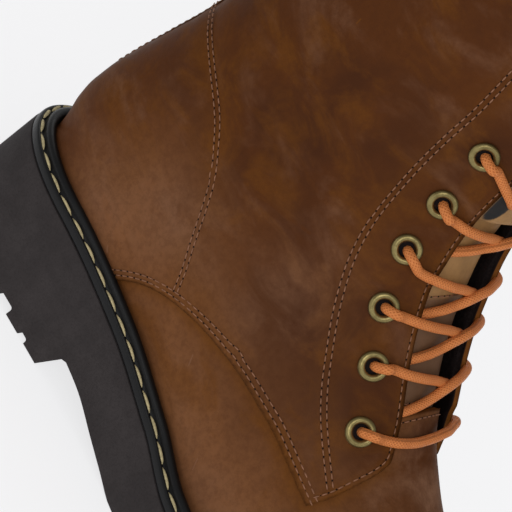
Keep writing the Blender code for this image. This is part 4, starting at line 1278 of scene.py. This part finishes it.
class BOOT_OT_upper(bpy.types.Operator):
    """Vamp, quarters and fleece lining of the upper."""

    bl_idname = "boot.upper"
    bl_label = "Upper"

    vamp_spacing, quarter_spacing, lining_spacing = 1.5 * MM, 1.15 * MM, 2.4 * MM
    vamp_roll, quarter_roll, lining_roll = 0.2 * MM, 0.35 * MM, 0.4 * MM
    skive = 0.2 * MM  # how much thinner the quarters are than the vamp
    lining_aside, lining_turn, lining_low, lining_around = 0.25 * MM, (0.235, 0.997), 0.9, 1.92
    tuck_depth = 1.1 * MM
    vamp_sheen_spots = (  # spots of painted sheen: centre, reach and strength
        ((0.14, -0.034, 0.03), (0.03, 0.03, 0.01), 0.5),
        ((0.172, -0.004, 0.076), (0.03, 0.016, 0.016), 1.0),
    )
    quarter_sheen_spots = (  # the same for the quarters' painted sheen, given on the medial side
        ((0.060, 0.034, 0.066), (0.018, 0.05, 0.012), 0.55),
        ((0.045, 0.034, 0.045), (0.02, 0.05, 0.012), 0.5),
        ((0.098, 0.034, 0.082), (0.014, 0.05, 0.02), 0.5),
    )
    creases = (  # start, end and depth in mm, seen from the side
        ((34, 121), (60, 119), 0.35),
        ((30, 131), (56, 126), 0.3),
        ((38, 112), (66, 104), 0.25),
        ((88, 84), (118, 66), 0.25),
        ((70, 128), (88, 118), 0.2),
        ((96, 70), (130, 64), 0.2),
    )

    def execute(self, context):
        form, size = the_form(), sizes()
        seams, edges = [], []
        for side in SIDE_NAMES:
            seams += [line_from_side(rows, side) for rows in (COUNTER_SEAM, FACING_SEAM)]
            edges += quarter_lines(side)
        seams, edges = (
            np.concatenate([form.face(*line.T, size.overlay)[0] for line in lines])
            for lines in (seams, edges)
        )
        panel = Panel(vamp_outline(), self.vamp_spacing)
        points, faces = panel.solid(0.0, size.wall, self.vamp_roll)
        throat = form.over(vamp_edge_turn, np.linspace(-16, 16, 40) * MM)[0]
        sheen_spots, count = sheen_spots_at(self.vamp_sheen_spots), 2 * len(panel.places)
        extra = leather_attributes(points, np.concatenate([edges, throat]), edges, count, sheen_spots)
        make_piece("vamp", points, faces, leather(), "oiled_leather", ["upper"], attributes=extra)
        for name, side in SIDES.items():
            panel = Panel(quarter_outline(side), self.quarter_spacing)
            lift = self.relief(panel, side)
            points, faces = panel.solid(size.overlay, size.wall - self.skive, self.quarter_roll, lift)
            sheen_spots = sheen_spots_at(self.quarter_sheen_spots, side)
            extra = leather_attributes(points, edges, seams, 2 * len(panel.places), sheen_spots)
            centres = [eyelet_place(row, side)[0] for row in EYELETS]
            # painted shade in the eyelet holes: the quarter's leather under each hole is painted the lining's
            # black
            extra["inside"][near(points, centres, 9 * MM) < size.eyelet_hole + 0.9 * MM] = 1.0
            make_piece(
                f"quarter_{name}", points, faces, leather(), "oiled_leather", ["upper"], attributes=extra
            )
            self.line_quarter(form, size, name, side)
        return {"FINISHED"}

    def relief(self, panel, side):
        """How the quarter's face rises: seam grooves, creases, the flare, and the tuck at the back."""
        form = the_form()
        station, around = panel.places.T
        base = form.face(station, around)[0]
        lift = np.zeros(len(base))
        for rows, middle in ((COUNTER_SEAM, sum(counter_rows) / 2), (FACING_SEAM, sizes().seam_gap / 2)):
            middle = offset_line(line_from_side(rows, side), middle * side)
            distance = near(base, form.face(*middle.T)[0], 12 * MM)
            lift -= seam_groove * hill(distance, seam_groove_width, 4)
            lift += seam_bulge * hill(distance - seam_bulge_place, seam_bulge_width)
        x, z = base[:, 0] - form.shift[0], base[:, 2]
        for start, end, depth in self.creases:
            one, other = np.array(start) * MM, np.array(end) * MM
            way, length = unit(other - one), np.linalg.norm(other - one)
            along = (x - one[0]) * way[0] + (z - one[1]) * way[1]
            across = -(x - one[0]) * way[1] + (z - one[1]) * way[0]
            wave = hill(across, 1.4 * MM) - 0.5 * hill(across, 4.5 * MM)
            lift -= depth * MM * hill(along - length / 2, 0.55 * length, 4) * wave
        tuck = np.interp(np.abs(around), (1.5, 1.8), (0, 1)) * np.interp(station, (0.93, 1.02), (0, 1))
        lift *= np.clip((edge_around - np.abs(around)) / 0.15, 0, 1)
        return lift + form.flare_on(station, around) - self.tuck_depth * tuck

    def line_quarter(self, form, size, name, side):
        """Black fleece inside each quarter, its edge just short of the leather's."""
        facing = facing_line(np.linspace(*self.lining_turn, 90), side, self.lining_aside)
        start, end = facing[0], facing[-1]
        seam, low = edge_around * side, self.lining_around * side
        top = np.linspace(end, (end[0], seam), 50)
        back = np.linspace((end[0], seam), (self.lining_low, seam), 80)
        under = np.linspace((self.lining_low, low), (start[0], low), 80)
        front = np.linspace((start[0], low), start, 30)
        outline = np.concatenate([facing, top[1:], back[1:], under[1:], front[1:-1]])
        panel = Panel(outline, self.lining_spacing)
        upper_face = size.overlay - size.wall + self.skive
        thickness = size.wall + size.tongue_gap + upper_face - self.skive
        points, faces = panel.solid(upper_face, thickness, self.lining_roll, form.flare_on(*panel.places.T))
        material = finish("fleece", lambda: fleece_shader(colours()))
        make_piece(f"lining_{name}", points, faces, material, "oiled_leather")


class BOOT_OT_seams(bpy.types.Operator):
    """Stitch rows of the quarters, facings, counter and vamp."""

    bl_idname = "boot.seams"
    bl_label = "Seams"

    proud = 0.05 * MM
    collar_station, collar_gap, collar_end = 1.975, 0.06, 1.9

    def execute(self, context):
        out, gap = sizes().overlay + self.proud, sizes().seam_gap
        grooved = (("facing", FACING_SEAM, (0, gap)), ("counter", COUNTER_SEAM, counter_rows))
        for name, side in SIDES.items():
            foot, front, facing = quarter_lines(side)
            runs = [run_along(offset_line(foot, row * side)[2:], out) for row in (row_inset, row_inset + gap)]
            edge = np.concatenate([front[3:], facing])
            runs.append(run_along(offset_line(edge, row_inset * side), out))
            sew(f"quarter_stitches_{name}", runs)
            for seam, rows, gaps in grooved:
                line = line_from_side(rows, side)
                runs = [run_along(offset_line(line, row * side), out - seam_groove) for row in gaps]
                sew(f"{seam}_stitches_{name}", runs)
            start = (self.collar_station, facing[-1, 1] + self.collar_gap * side)
            collar = np.linspace(start, (self.collar_station, self.collar_end * side), 60)
            sew(f"collar_stitches_{name}", [run_along(collar, out)])
        sew("vamp_edge_stitches", cross_runs([vamp_edge_turn - 0.009], 15, 14, self.proud))
        return {"FINISHED"}


class BOOT_OT_backstay(bpy.types.Operator):
    """Leather strip down the back seam."""

    bl_idname = "boot.backstay"
    bl_label = "Backstay"

    half_width, thickness, sunk = 10 * MM, 0.7 * MM, 1.2 * MM
    count, across = 160, 25
    start, fade_end, end = 1.16, 1.42, 1.985
    edge_share, edge_rounding, edge_dark = 0.06, 0.45, 0.75
    row_share, row_height = 0.86, 0.6

    def execute(self, context):
        form, size = the_form(), sizes()
        stations = np.linspace(self.start, self.end, self.count)
        station = np.repeat(stations, self.across)
        aside = np.tile(np.linspace(-1, 1, self.across) * self.half_width, self.count)
        around = self.around_at(form, station, aside)
        bottom = size.overlay - self.sunk
        edge = np.clip((1 - np.abs(aside) / self.half_width) / self.edge_share, 0, 1)
        rounded = 1 - self.edge_rounding * (1 - edge) ** 2
        top = form.face(station, around, bottom + self.thickness * rounded * self.fade(station))[0]
        low = form.face(station, around, np.full(len(station), bottom))[0]
        points = np.concatenate([top, low])
        edges = np.concatenate([top[0 :: self.across], top[self.across - 1 :: self.across]])
        extra = leather_attributes(points, edges, edges, len(points))
        extra["inside"][:] = 0
        for column in (0, self.across - 1):
            extra["inside"][column :: self.across] = self.edge_dark
        faces = sheet_faces(self.count, self.across)
        make_piece("back_strip", points, faces, leather(), "oiled_leather", ["backstay"], attributes=extra)
        runs = []
        inner = stations[2:-2]
        out = bottom + self.row_height * self.thickness * self.fade(inner)
        for side in SIDE_NAMES:
            around = self.around_at(form, inner, np.full(len(inner), side * self.row_share * self.half_width))
            runs.append(run_along(np.stack([inner, around], axis=1), out))
        sew("back_strip_stitches", runs)
        return {"FINISHED"}

    def around_at(self, form, station, aside):
        """How far around a slice a place on its back is, aside from the seam."""
        side = np.where(aside < 0, -1, 1)
        cut = form.cut(station, side)
        share = (np.abs(aside) / cut["wide"]) ** (cut["foot_power"] / 2)
        return side * (edge_around - np.arcsin(share) / (np.pi / 2))

    def fade(self, station):
        """The strip starts as a thin skived end and thickens on its way up."""
        return np.interp(station, (self.start, self.fade_end), (0.1, 1))


def laid_plate(name, stations, asides, insets, thickness, material, node, extra):
    """Closed plate on the form's front, its upper face at each station's inset, thinner towards its rim."""
    form = the_form()
    count, across = asides.shape
    station, aside = np.repeat(stations, across), asides.reshape(-1)
    around = form.around_at(np.interp(station, form.stations, form.turns), aside)
    edge = np.abs(np.linspace(-1, 1, across))
    from_end = np.clip(np.minimum(np.arange(count), np.arange(count)[::-1]) / 3, 0, 1)
    sides = np.sqrt(np.clip(1 - np.clip((edge - 0.93) / 0.07, 0, 1) ** 2, 0, 1))
    ends = np.sqrt(np.clip(1 - (1 - from_end) ** 2, 0, 1))
    full = 0.25 + 0.75 * np.outer(ends, sides).reshape(-1)
    middle = -np.broadcast_to(insets, (count, across)).reshape(-1) - thickness / 2
    layers = [form.face(station, around, middle + way * full * thickness / 2)[0] for way in (1, -1)]
    values = {key: np.tile(maker(station, aside), 2) for key, maker in extra.items()}
    make_piece(
        name, np.concatenate(layers), sheet_faces(count, across), material, "tongue_leather", [node],
        attributes=values,
    )


class BOOT_OT_tongue(bpy.types.Operator):
    """Padded tongue with its cross seams, and the keeper that the laces pass under."""

    bl_idname = "boot.tongue"
    bl_label = "Tongue"

    start_turn, half_width, rise = 0.13, 30 * MM, 7 * MM
    tip_start, tip_length, tip_narrowing = 1.995, 0.05, 0.5
    seam_turns, seam_proud, low_fade = (0.225, 0.393), 0.05 * MM, 0.006
    keeper_turns = (0.552, 0.558, 0.566, 0.630, 0.645, 0.690)
    keeper_arch = (0.9, 1, 1, 1, 0, 0)
    keeper_half_width, keeper_thickness, keeper_rise = 16 * MM, 1.3 * MM, 3.6 * MM
    keeper_foot, keeper_low = 1.2 * MM, 0.15
    slit_turn, slit_aside, slit_curve = 0.592, 11.6 * MM, 1.2 * MM
    slit_half_length, slit_half_width = 0.04, 2.1 * MM

    def execute(self, context):
        form, size = the_form(), sizes()
        inset = size.wall + size.tongue_gap
        top = 2 + 0.9 * self.rise / (size.boot_height - size.heel_top - size.welt_height)
        stations = np.linspace(float(form.station_at(self.start_turn)), min(top, last_station), 190)
        tip = np.clip((stations - self.tip_start) / self.tip_length, 0, 1)
        half = self.half_width * np.sqrt(1 - self.tip_narrowing * tip**2)
        material = plain_leather("tongue_leather", tuple(colours().tongue), tuple(colours().tongue_low), 0.55)
        laid_plate(
            "padded_tongue", stations, np.outer(half, np.linspace(-1, 1, 61)), inset, size.tongue_thickness,
            material, "tongue", {"low": self.low},
        )
        at, ticks = np.linspace(0, 5, 100), range(6)
        share = np.linspace(-1, 1, 81)
        arch = self.keeper_rise * np.interp(at, ticks, self.keeper_arch)
        lifts = inset - self.keeper_foot - np.outer(arch, np.clip(1.5 * (1 - np.abs(share) ** 3), 0, 1))
        asides = np.tile(self.keeper_half_width * share, (100, 1))
        laid_plate(
            "keeper_loop", form.station_at(np.interp(at, ticks, self.keeper_turns)), asides, lifts,
            self.keeper_thickness, material, "lace_keeper", {"low": self.keeper_tint, "slit_shade": self.slit_shade},
        )
        runs = cross_runs(self.seam_turns, 14.5, 13, -inset + self.seam_proud)
        sew("tongue_stitches", runs, "tongue_leather")
        return {"FINISHED"}

    def low(self, station, aside):
        """1 below the upper cross seam."""
        seam = float(the_form().station_at(self.seam_turns[1]))
        return np.clip((seam - station) / self.low_fade + 0.5, 0, 1)

    def keeper_tint(self, station, aside):
        return np.full_like(aside, self.keeper_low)

    def slit_shade(self, station, aside):
        """Almond shaped openings beside the facings, as painted shade."""
        turns = self.slit_turn + np.array([0, self.slit_half_length])
        middle, end = the_form().station_at(turns)
        along = (station - middle) / (end - middle)
        across = (np.abs(aside) - self.slit_aside - self.slit_curve * along**2) / self.slit_half_width
        return np.clip((1 - along**2 - across**2) / 0.25, 0, 1)


class BOOT_OT_insole(bpy.types.Operator):
    """Leather sock on the insole."""

    bl_idname = "boot.insole"
    bl_label = "Insole"

    def execute(self, context):
        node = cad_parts["insole"]
        material = plain_leather("sock_leather", seen(150, 118, 84), seen(150, 118, 84), 0.7)
        node.data.materials.clear()
        node.data.materials.append(material)
        return {"FINISHED"}


def eyelet_place(row, side):
    """Middle of an eyelet on the quarter's face, and its across, up and out ways."""
    size, half_turn = sizes(), 0.035
    aside, reach = side * row.aside * size.last_width, side * size.eyelet_radius
    turns = np.array([row.turn, row.turn - half_turn, row.turn + half_turn, row.turn, row.turn])
    asides = np.array([aside, aside, aside, aside - reach, aside + reach])
    at, below, above, inner, outer = the_form().over(turns, asides, size.overlay)[0]
    out = unit(np.cross(above - below, inner - outer))
    if out[1] * side < 0:
        out = -out
    across = inner - outer
    across = unit(across - out * np.dot(across, out))
    return at, across, np.cross(out, across), out


class BOOT_OT_eyelets(bpy.types.Operator):
    """Domed brass eyelets with their barrels through the leather."""

    bl_idname = "boot.eyelets"
    bl_label = "Eyelets"

    dome, seat, barrel, sides = 1.2 * MM, 0.45 * MM, 3.0 * MM, 40
    barrel_depths = (0.4 * MM, 0.0, -0.7 * MM, -1.7 * MM)

    def execute(self, context):
        size = sizes()
        flange = size.eyelet_radius - size.eyelet_hole
        profile = [(self.barrel, self.barrel_depths[-1]), (self.barrel, self.seat)]
        profile.append((size.eyelet_radius, self.seat))
        for angle in range(0, 181, 15):
            turn = math.radians(angle)
            radius = size.eyelet_hole + flange * (0.5 + 0.5 * math.cos(turn))
            profile.append((radius, self.seat + self.dome * math.sin(turn) ** 0.8))
        profile += [(size.eyelet_hole * 0.99, depth) for depth in self.barrel_depths]
        # the inner barrel below the seat, painted dark as the shade in the hole
        shaded_hollow = [1.0 if radius <= size.eyelet_hole and up < self.seat else 0.0 for radius, up in profile]
        material = brass_shader(colours())
        faces = loop_faces(len(profile), self.sides)
        cosine, sine = np.cos(ring_angles(self.sides))[:, None], np.sin(ring_angles(self.sides))[:, None]
        for name, side in SIDES.items():
            for number, row in enumerate(EYELETS, start=1):
                at, across, up, out = eyelet_place(row, side)
                ring = across[None] * cosine + up[None] * sine
                points = np.concatenate([at + ring * radius + out * height for radius, height in profile])
                make_piece(
                    f"brass_eyelet_{name}_{number}", points, faces, material, "antique_brass",
                    [f"eyelet_{name}_{number}"], attributes={"shaded_hollow": np.repeat(shaded_hollow, self.sides)},
                )
        return {"FINISHED"}


class BOOT_OT_laces(bpy.types.Operator):
    """One waxed cord through all the eyelets: a bar below, then crossings that dive into each eyelet."""

    bl_idname = "boot.laces"
    bl_label = "Laces"

    kept_crossing = 6
    bar_table = (  # level, aside and depth in mm under the vamp's face
        (0.83, -0.85, -2.7), (0.68, -0.64, -2.7), (0.61, -0.37, -1.9), (0.63, -0.10, -2.2),
        (0.70, 0.15, -3.4), (0.80, 0.36, -4.6), (0.90, 0.52, -2.9), (0.95, 0.68, -2.8), (0.98, 0.82, -2.8),
    )
    upper_table = (  # the strand that ends on the medial side
        (-0.90, -0.62, 1.4), (-0.87, -0.47, 1.0), (-0.83, -0.36, 0.6), (-0.76, -0.22, 0.1),
        (-0.58, -0.08, -2.2), (-0.40, 0.15, -3.9), (-0.29, 0.36, -4.9), (-0.17, 0.54, -2.9),
        (-0.08, 0.63, -2.8),
    )
    lower_table = (  # the one that ends on the lateral side
        (-0.67, -0.74, 1.5), (-0.63, -0.52, -0.3), (-0.57, -0.34, -0.6), (-0.50, -0.06, -0.5),
        (-0.41, 0.24, -0.7), (-0.32, 0.48, -1.8), (-0.21, 0.68, -2.6), (-0.07, 0.86, -2.7),
    )
    kept_table = (  # both strands under the keeper, out through its slits
        (-0.86, -0.68, 3.6), (-0.82, -0.50, 0.8), (-0.78, -0.20, 0.9), (-0.76, 0.20, 0.9),
        (-0.74, 0.38, 0.4), (-0.66, 0.47, -2.6), (-0.55, 0.56, -4.0), (-0.42, 0.66, -3.2),
        (-0.28, 0.76, -2.8), (-0.12, 0.87, -2.8),
    )
    upper_shifts = {3: -0.11, 4: -0.29, 5: -0.10, 7: -0.1}
    lower_shifts = {3: -0.08, 4: -0.29, 5: -0.17, 7: -0.1}

    def execute(self, context):
        size = sizes()
        meshes, runs, turns = [], [], []
        for rows in (self.bar(), self.strand(LATERAL), self.strand(MEDIAL)):
            path = resample(rows, 0.45 * MM)
            points, faces, run, turn = tube_mesh(path, size.lace_radius, 18)
            meshes.append((points, faces))
            runs.append(run)
            turns.append(turn)
        points, faces = merged(meshes)
        material = cord_shader(colours(), size.braid)
        nodes = ["lace_bar"] + [f"lace_crossing_{i}" for i in range(2, len(EYELETS) + 1)]
        extra = {"run": np.concatenate(runs), "turn": np.concatenate(turns)}
        make_piece("lace_cord", points, faces, material, "waxed_cord", nodes, attributes=extra)
        return {"FINISHED"}

    def through(self, number, side, previous):
        """Points from over an eyelet's rim down through its hole, from the way that the lace comes."""
        at, _, _, out = eyelet_place(EYELETS[number - 1], side)
        way = previous - at
        way = unit(way - out * np.dot(way, out))
        rows = []
        for away, height in ((4.4, 3.0), (2.9, 3.0), (1.5, 2.0), (0.7, 0.4), (0.4, -1.6)):
            rows.append(at + way * away * MM + out * height * MM)
        return rows

    def place(self, level, aside, inset, flared=False):
        """The eyelets count as levels, and aside is a share of their own."""
        form = the_form()
        levels = np.arange(len(EYELETS) + 2)
        turns = [2 * EYELETS[0].turn - EYELETS[1].turn] + [row.turn for row in EYELETS]
        turns.append(2 * EYELETS[-1].turn - EYELETS[-2].turn)
        asides = [EYELETS[0].aside] + [row.aside for row in EYELETS] + [EYELETS[-1].aside]
        turn = np.interp(level, levels, turns)
        y = aside * np.interp(level, levels, asides) * sizes().last_width
        lift = form.flare(form.station_at(turn), max(y, flare_edge)) if flared else 0.0
        return form.over(turn, y, lift - inset)[0]

    def bar(self):
        rows = []
        for level, aside, inset in self.bar_table:
            rows.append(self.place(level, aside, inset * MM, aside > 0.4))
        first = self.through(1, LATERAL, rows[0])[::-1]
        return first + rows + self.through(1, MEDIAL, rows[-1])

    def strand(self, start):
        """From the lowest eyelet on one side up to the top: out from one facing, over the other."""
        side = start
        at, _, _, out = eyelet_place(EYELETS[0], side)
        rows = [at - out * 1.8 * MM]
        for number in range(2, len(EYELETS) + 1):
            table = self.upper_table if side == LATERAL else self.lower_table
            shift = (self.upper_shifts if side == LATERAL else self.lower_shifts).get(number, 0.0)
            if number == self.kept_crossing:
                table = self.kept_table
            rows.append(self.place(number - 0.95, side * 0.85, 4.0 * MM))
            for level, aside, inset in table:
                on_facing = aside > 0.44 and side == LATERAL
                rows.append(self.place(number + level + shift, -side * aside, inset * MM, on_facing))
            side = -side
            rows += self.through(number, side, rows[-1])
            at, _, _, out = eyelet_place(EYELETS[number - 1], side)
            rows.append(at - out * 3.4 * MM)
        return rows


class BOOT_OT_stage(bpy.types.Operator):
    """Pale floor, soft lights and the camera."""

    bl_idname = "boot.stage"
    bl_label = "Stage"

    azimuth, elevation = math.radians(12.8), math.radians(23.13)
    roll_sine, roll_cosine = 0.593, 0.805
    camera_place = (0.1779, -1.05145, 0.52766)
    lens = 268.56
    reach = 6.0  # from the middle of the floor to its edges

    def execute(self, context):
        scene = context.scene
        mesh = bpy.data.meshes.new("floor")
        corners = [(x * self.reach, y * self.reach, 0) for x, y in ((-1, -1), (1, -1), (1, 1), (-1, 1))]
        mesh.from_pydata(corners, [], [(0, 1, 2, 3)])
        floor = bpy.data.objects.new("floor", mesh)
        table = flat_shader("lit_table", tuple(colours().floor), 0.9)
        surface = table.node_tree.nodes["Principled BSDF"]
        surface.inputs["Emission Color"].default_value = (1, 1, 1.01, 1)
        surface.inputs["Emission Strength"].default_value = 0.75
        mesh.materials.append(table)
        scene.collection.objects.link(floor)
        world = bpy.data.worlds.new("studio")
        world.use_nodes = True
        world.node_tree.nodes["Background"].inputs["Color"].default_value = (1, 1, 1, 1)
        world.node_tree.nodes["Background"].inputs["Strength"].default_value = 0.34
        scene.world = world
        self.light("key", (0.5, -1.9, 1.0), 1.4, 15)
        self.light("fill", (1.7, -0.5, 0.9), 1.6, 6)
        self.light("back", (-1.2, 1.0, 1.5), 1.2, 4)
        data = bpy.data.cameras.new("camera")
        data.lens = self.lens
        data.sensor_width = 36
        data.clip_start, data.clip_end = 0.05, 50
        camera = bpy.data.objects.new("camera", data)
        scene.collection.objects.link(camera)
        a, e = self.azimuth, self.elevation
        right = Vector((math.cos(a), math.sin(a), 0))
        back = Vector((math.sin(a) * math.cos(e), -math.cos(a) * math.cos(e), math.sin(e)))
        up = back.cross(right)
        across = right * self.roll_sine + up * self.roll_cosine
        upward = up * self.roll_sine - right * self.roll_cosine
        place = Matrix((across, upward, back)).transposed().to_4x4()
        shift_y = the_form().shift[1]
        place.translation = Vector(self.camera_place) + Vector((0, shift_y, 0))
        camera.matrix_world = place
        scene.camera = camera
        scene.view_settings.view_transform = "Standard"
        return {"FINISHED"}

    def light(self, name, place, size, power):
        data = bpy.data.lights.new(name, "AREA")
        data.shape = "DISK"
        data.size = size
        data.energy = power
        light = bpy.data.objects.new(name, data)
        bpy.context.scene.collection.objects.link(light)
        light.location = place
        light.rotation_euler = (Vector((0, 0, 0.1)) - Vector(place)).to_track_quat("-Z", "Y").to_euler()


OPERATORS = (
    BOOT_OT_stage,
    BOOT_OT_outsole,
    BOOT_OT_welt,
    BOOT_OT_insole,
    BOOT_OT_upper,
    BOOT_OT_seams,
    BOOT_OT_backstay,
    BOOT_OT_tongue,
    BOOT_OT_eyelets,
    BOOT_OT_laces,
)


class BOOT_PT_panel(bpy.types.Panel):
    """The boot's pieces, sizes and colours."""

    bl_idname = "BOOT_PT_panel"
    bl_label = "Lace up boot"
    bl_space_type = "VIEW_3D"
    bl_region_type = "UI"
    bl_category = "Boot"

    def draw(self, context):
        for operator in OPERATORS:
            self.layout.operator(operator.bl_idname)
        for group in (context.scene.boot_sizes, context.scene.boot_colours):
            for name in group.__annotations__:
                self.layout.prop(group, name)


CLASSES = (BootSizes, BootColours, *OPERATORS, BOOT_PT_panel)


def register():
    for item in CLASSES:
        bpy.utils.register_class(item)
    bpy.types.Scene.boot_sizes = PointerProperty(type=BootSizes)
    bpy.types.Scene.boot_colours = PointerProperty(type=BootColours)


def unregister():
    del bpy.types.Scene.boot_sizes
    del bpy.types.Scene.boot_colours
    for item in reversed(CLASSES):
        bpy.utils.unregister_class(item)


def main():
    register()
    for operator in OPERATORS:
        group, name = operator.bl_idname.split(".")
        getattr(getattr(bpy.ops, group), name)()


if __name__ == "__main__":
    main()
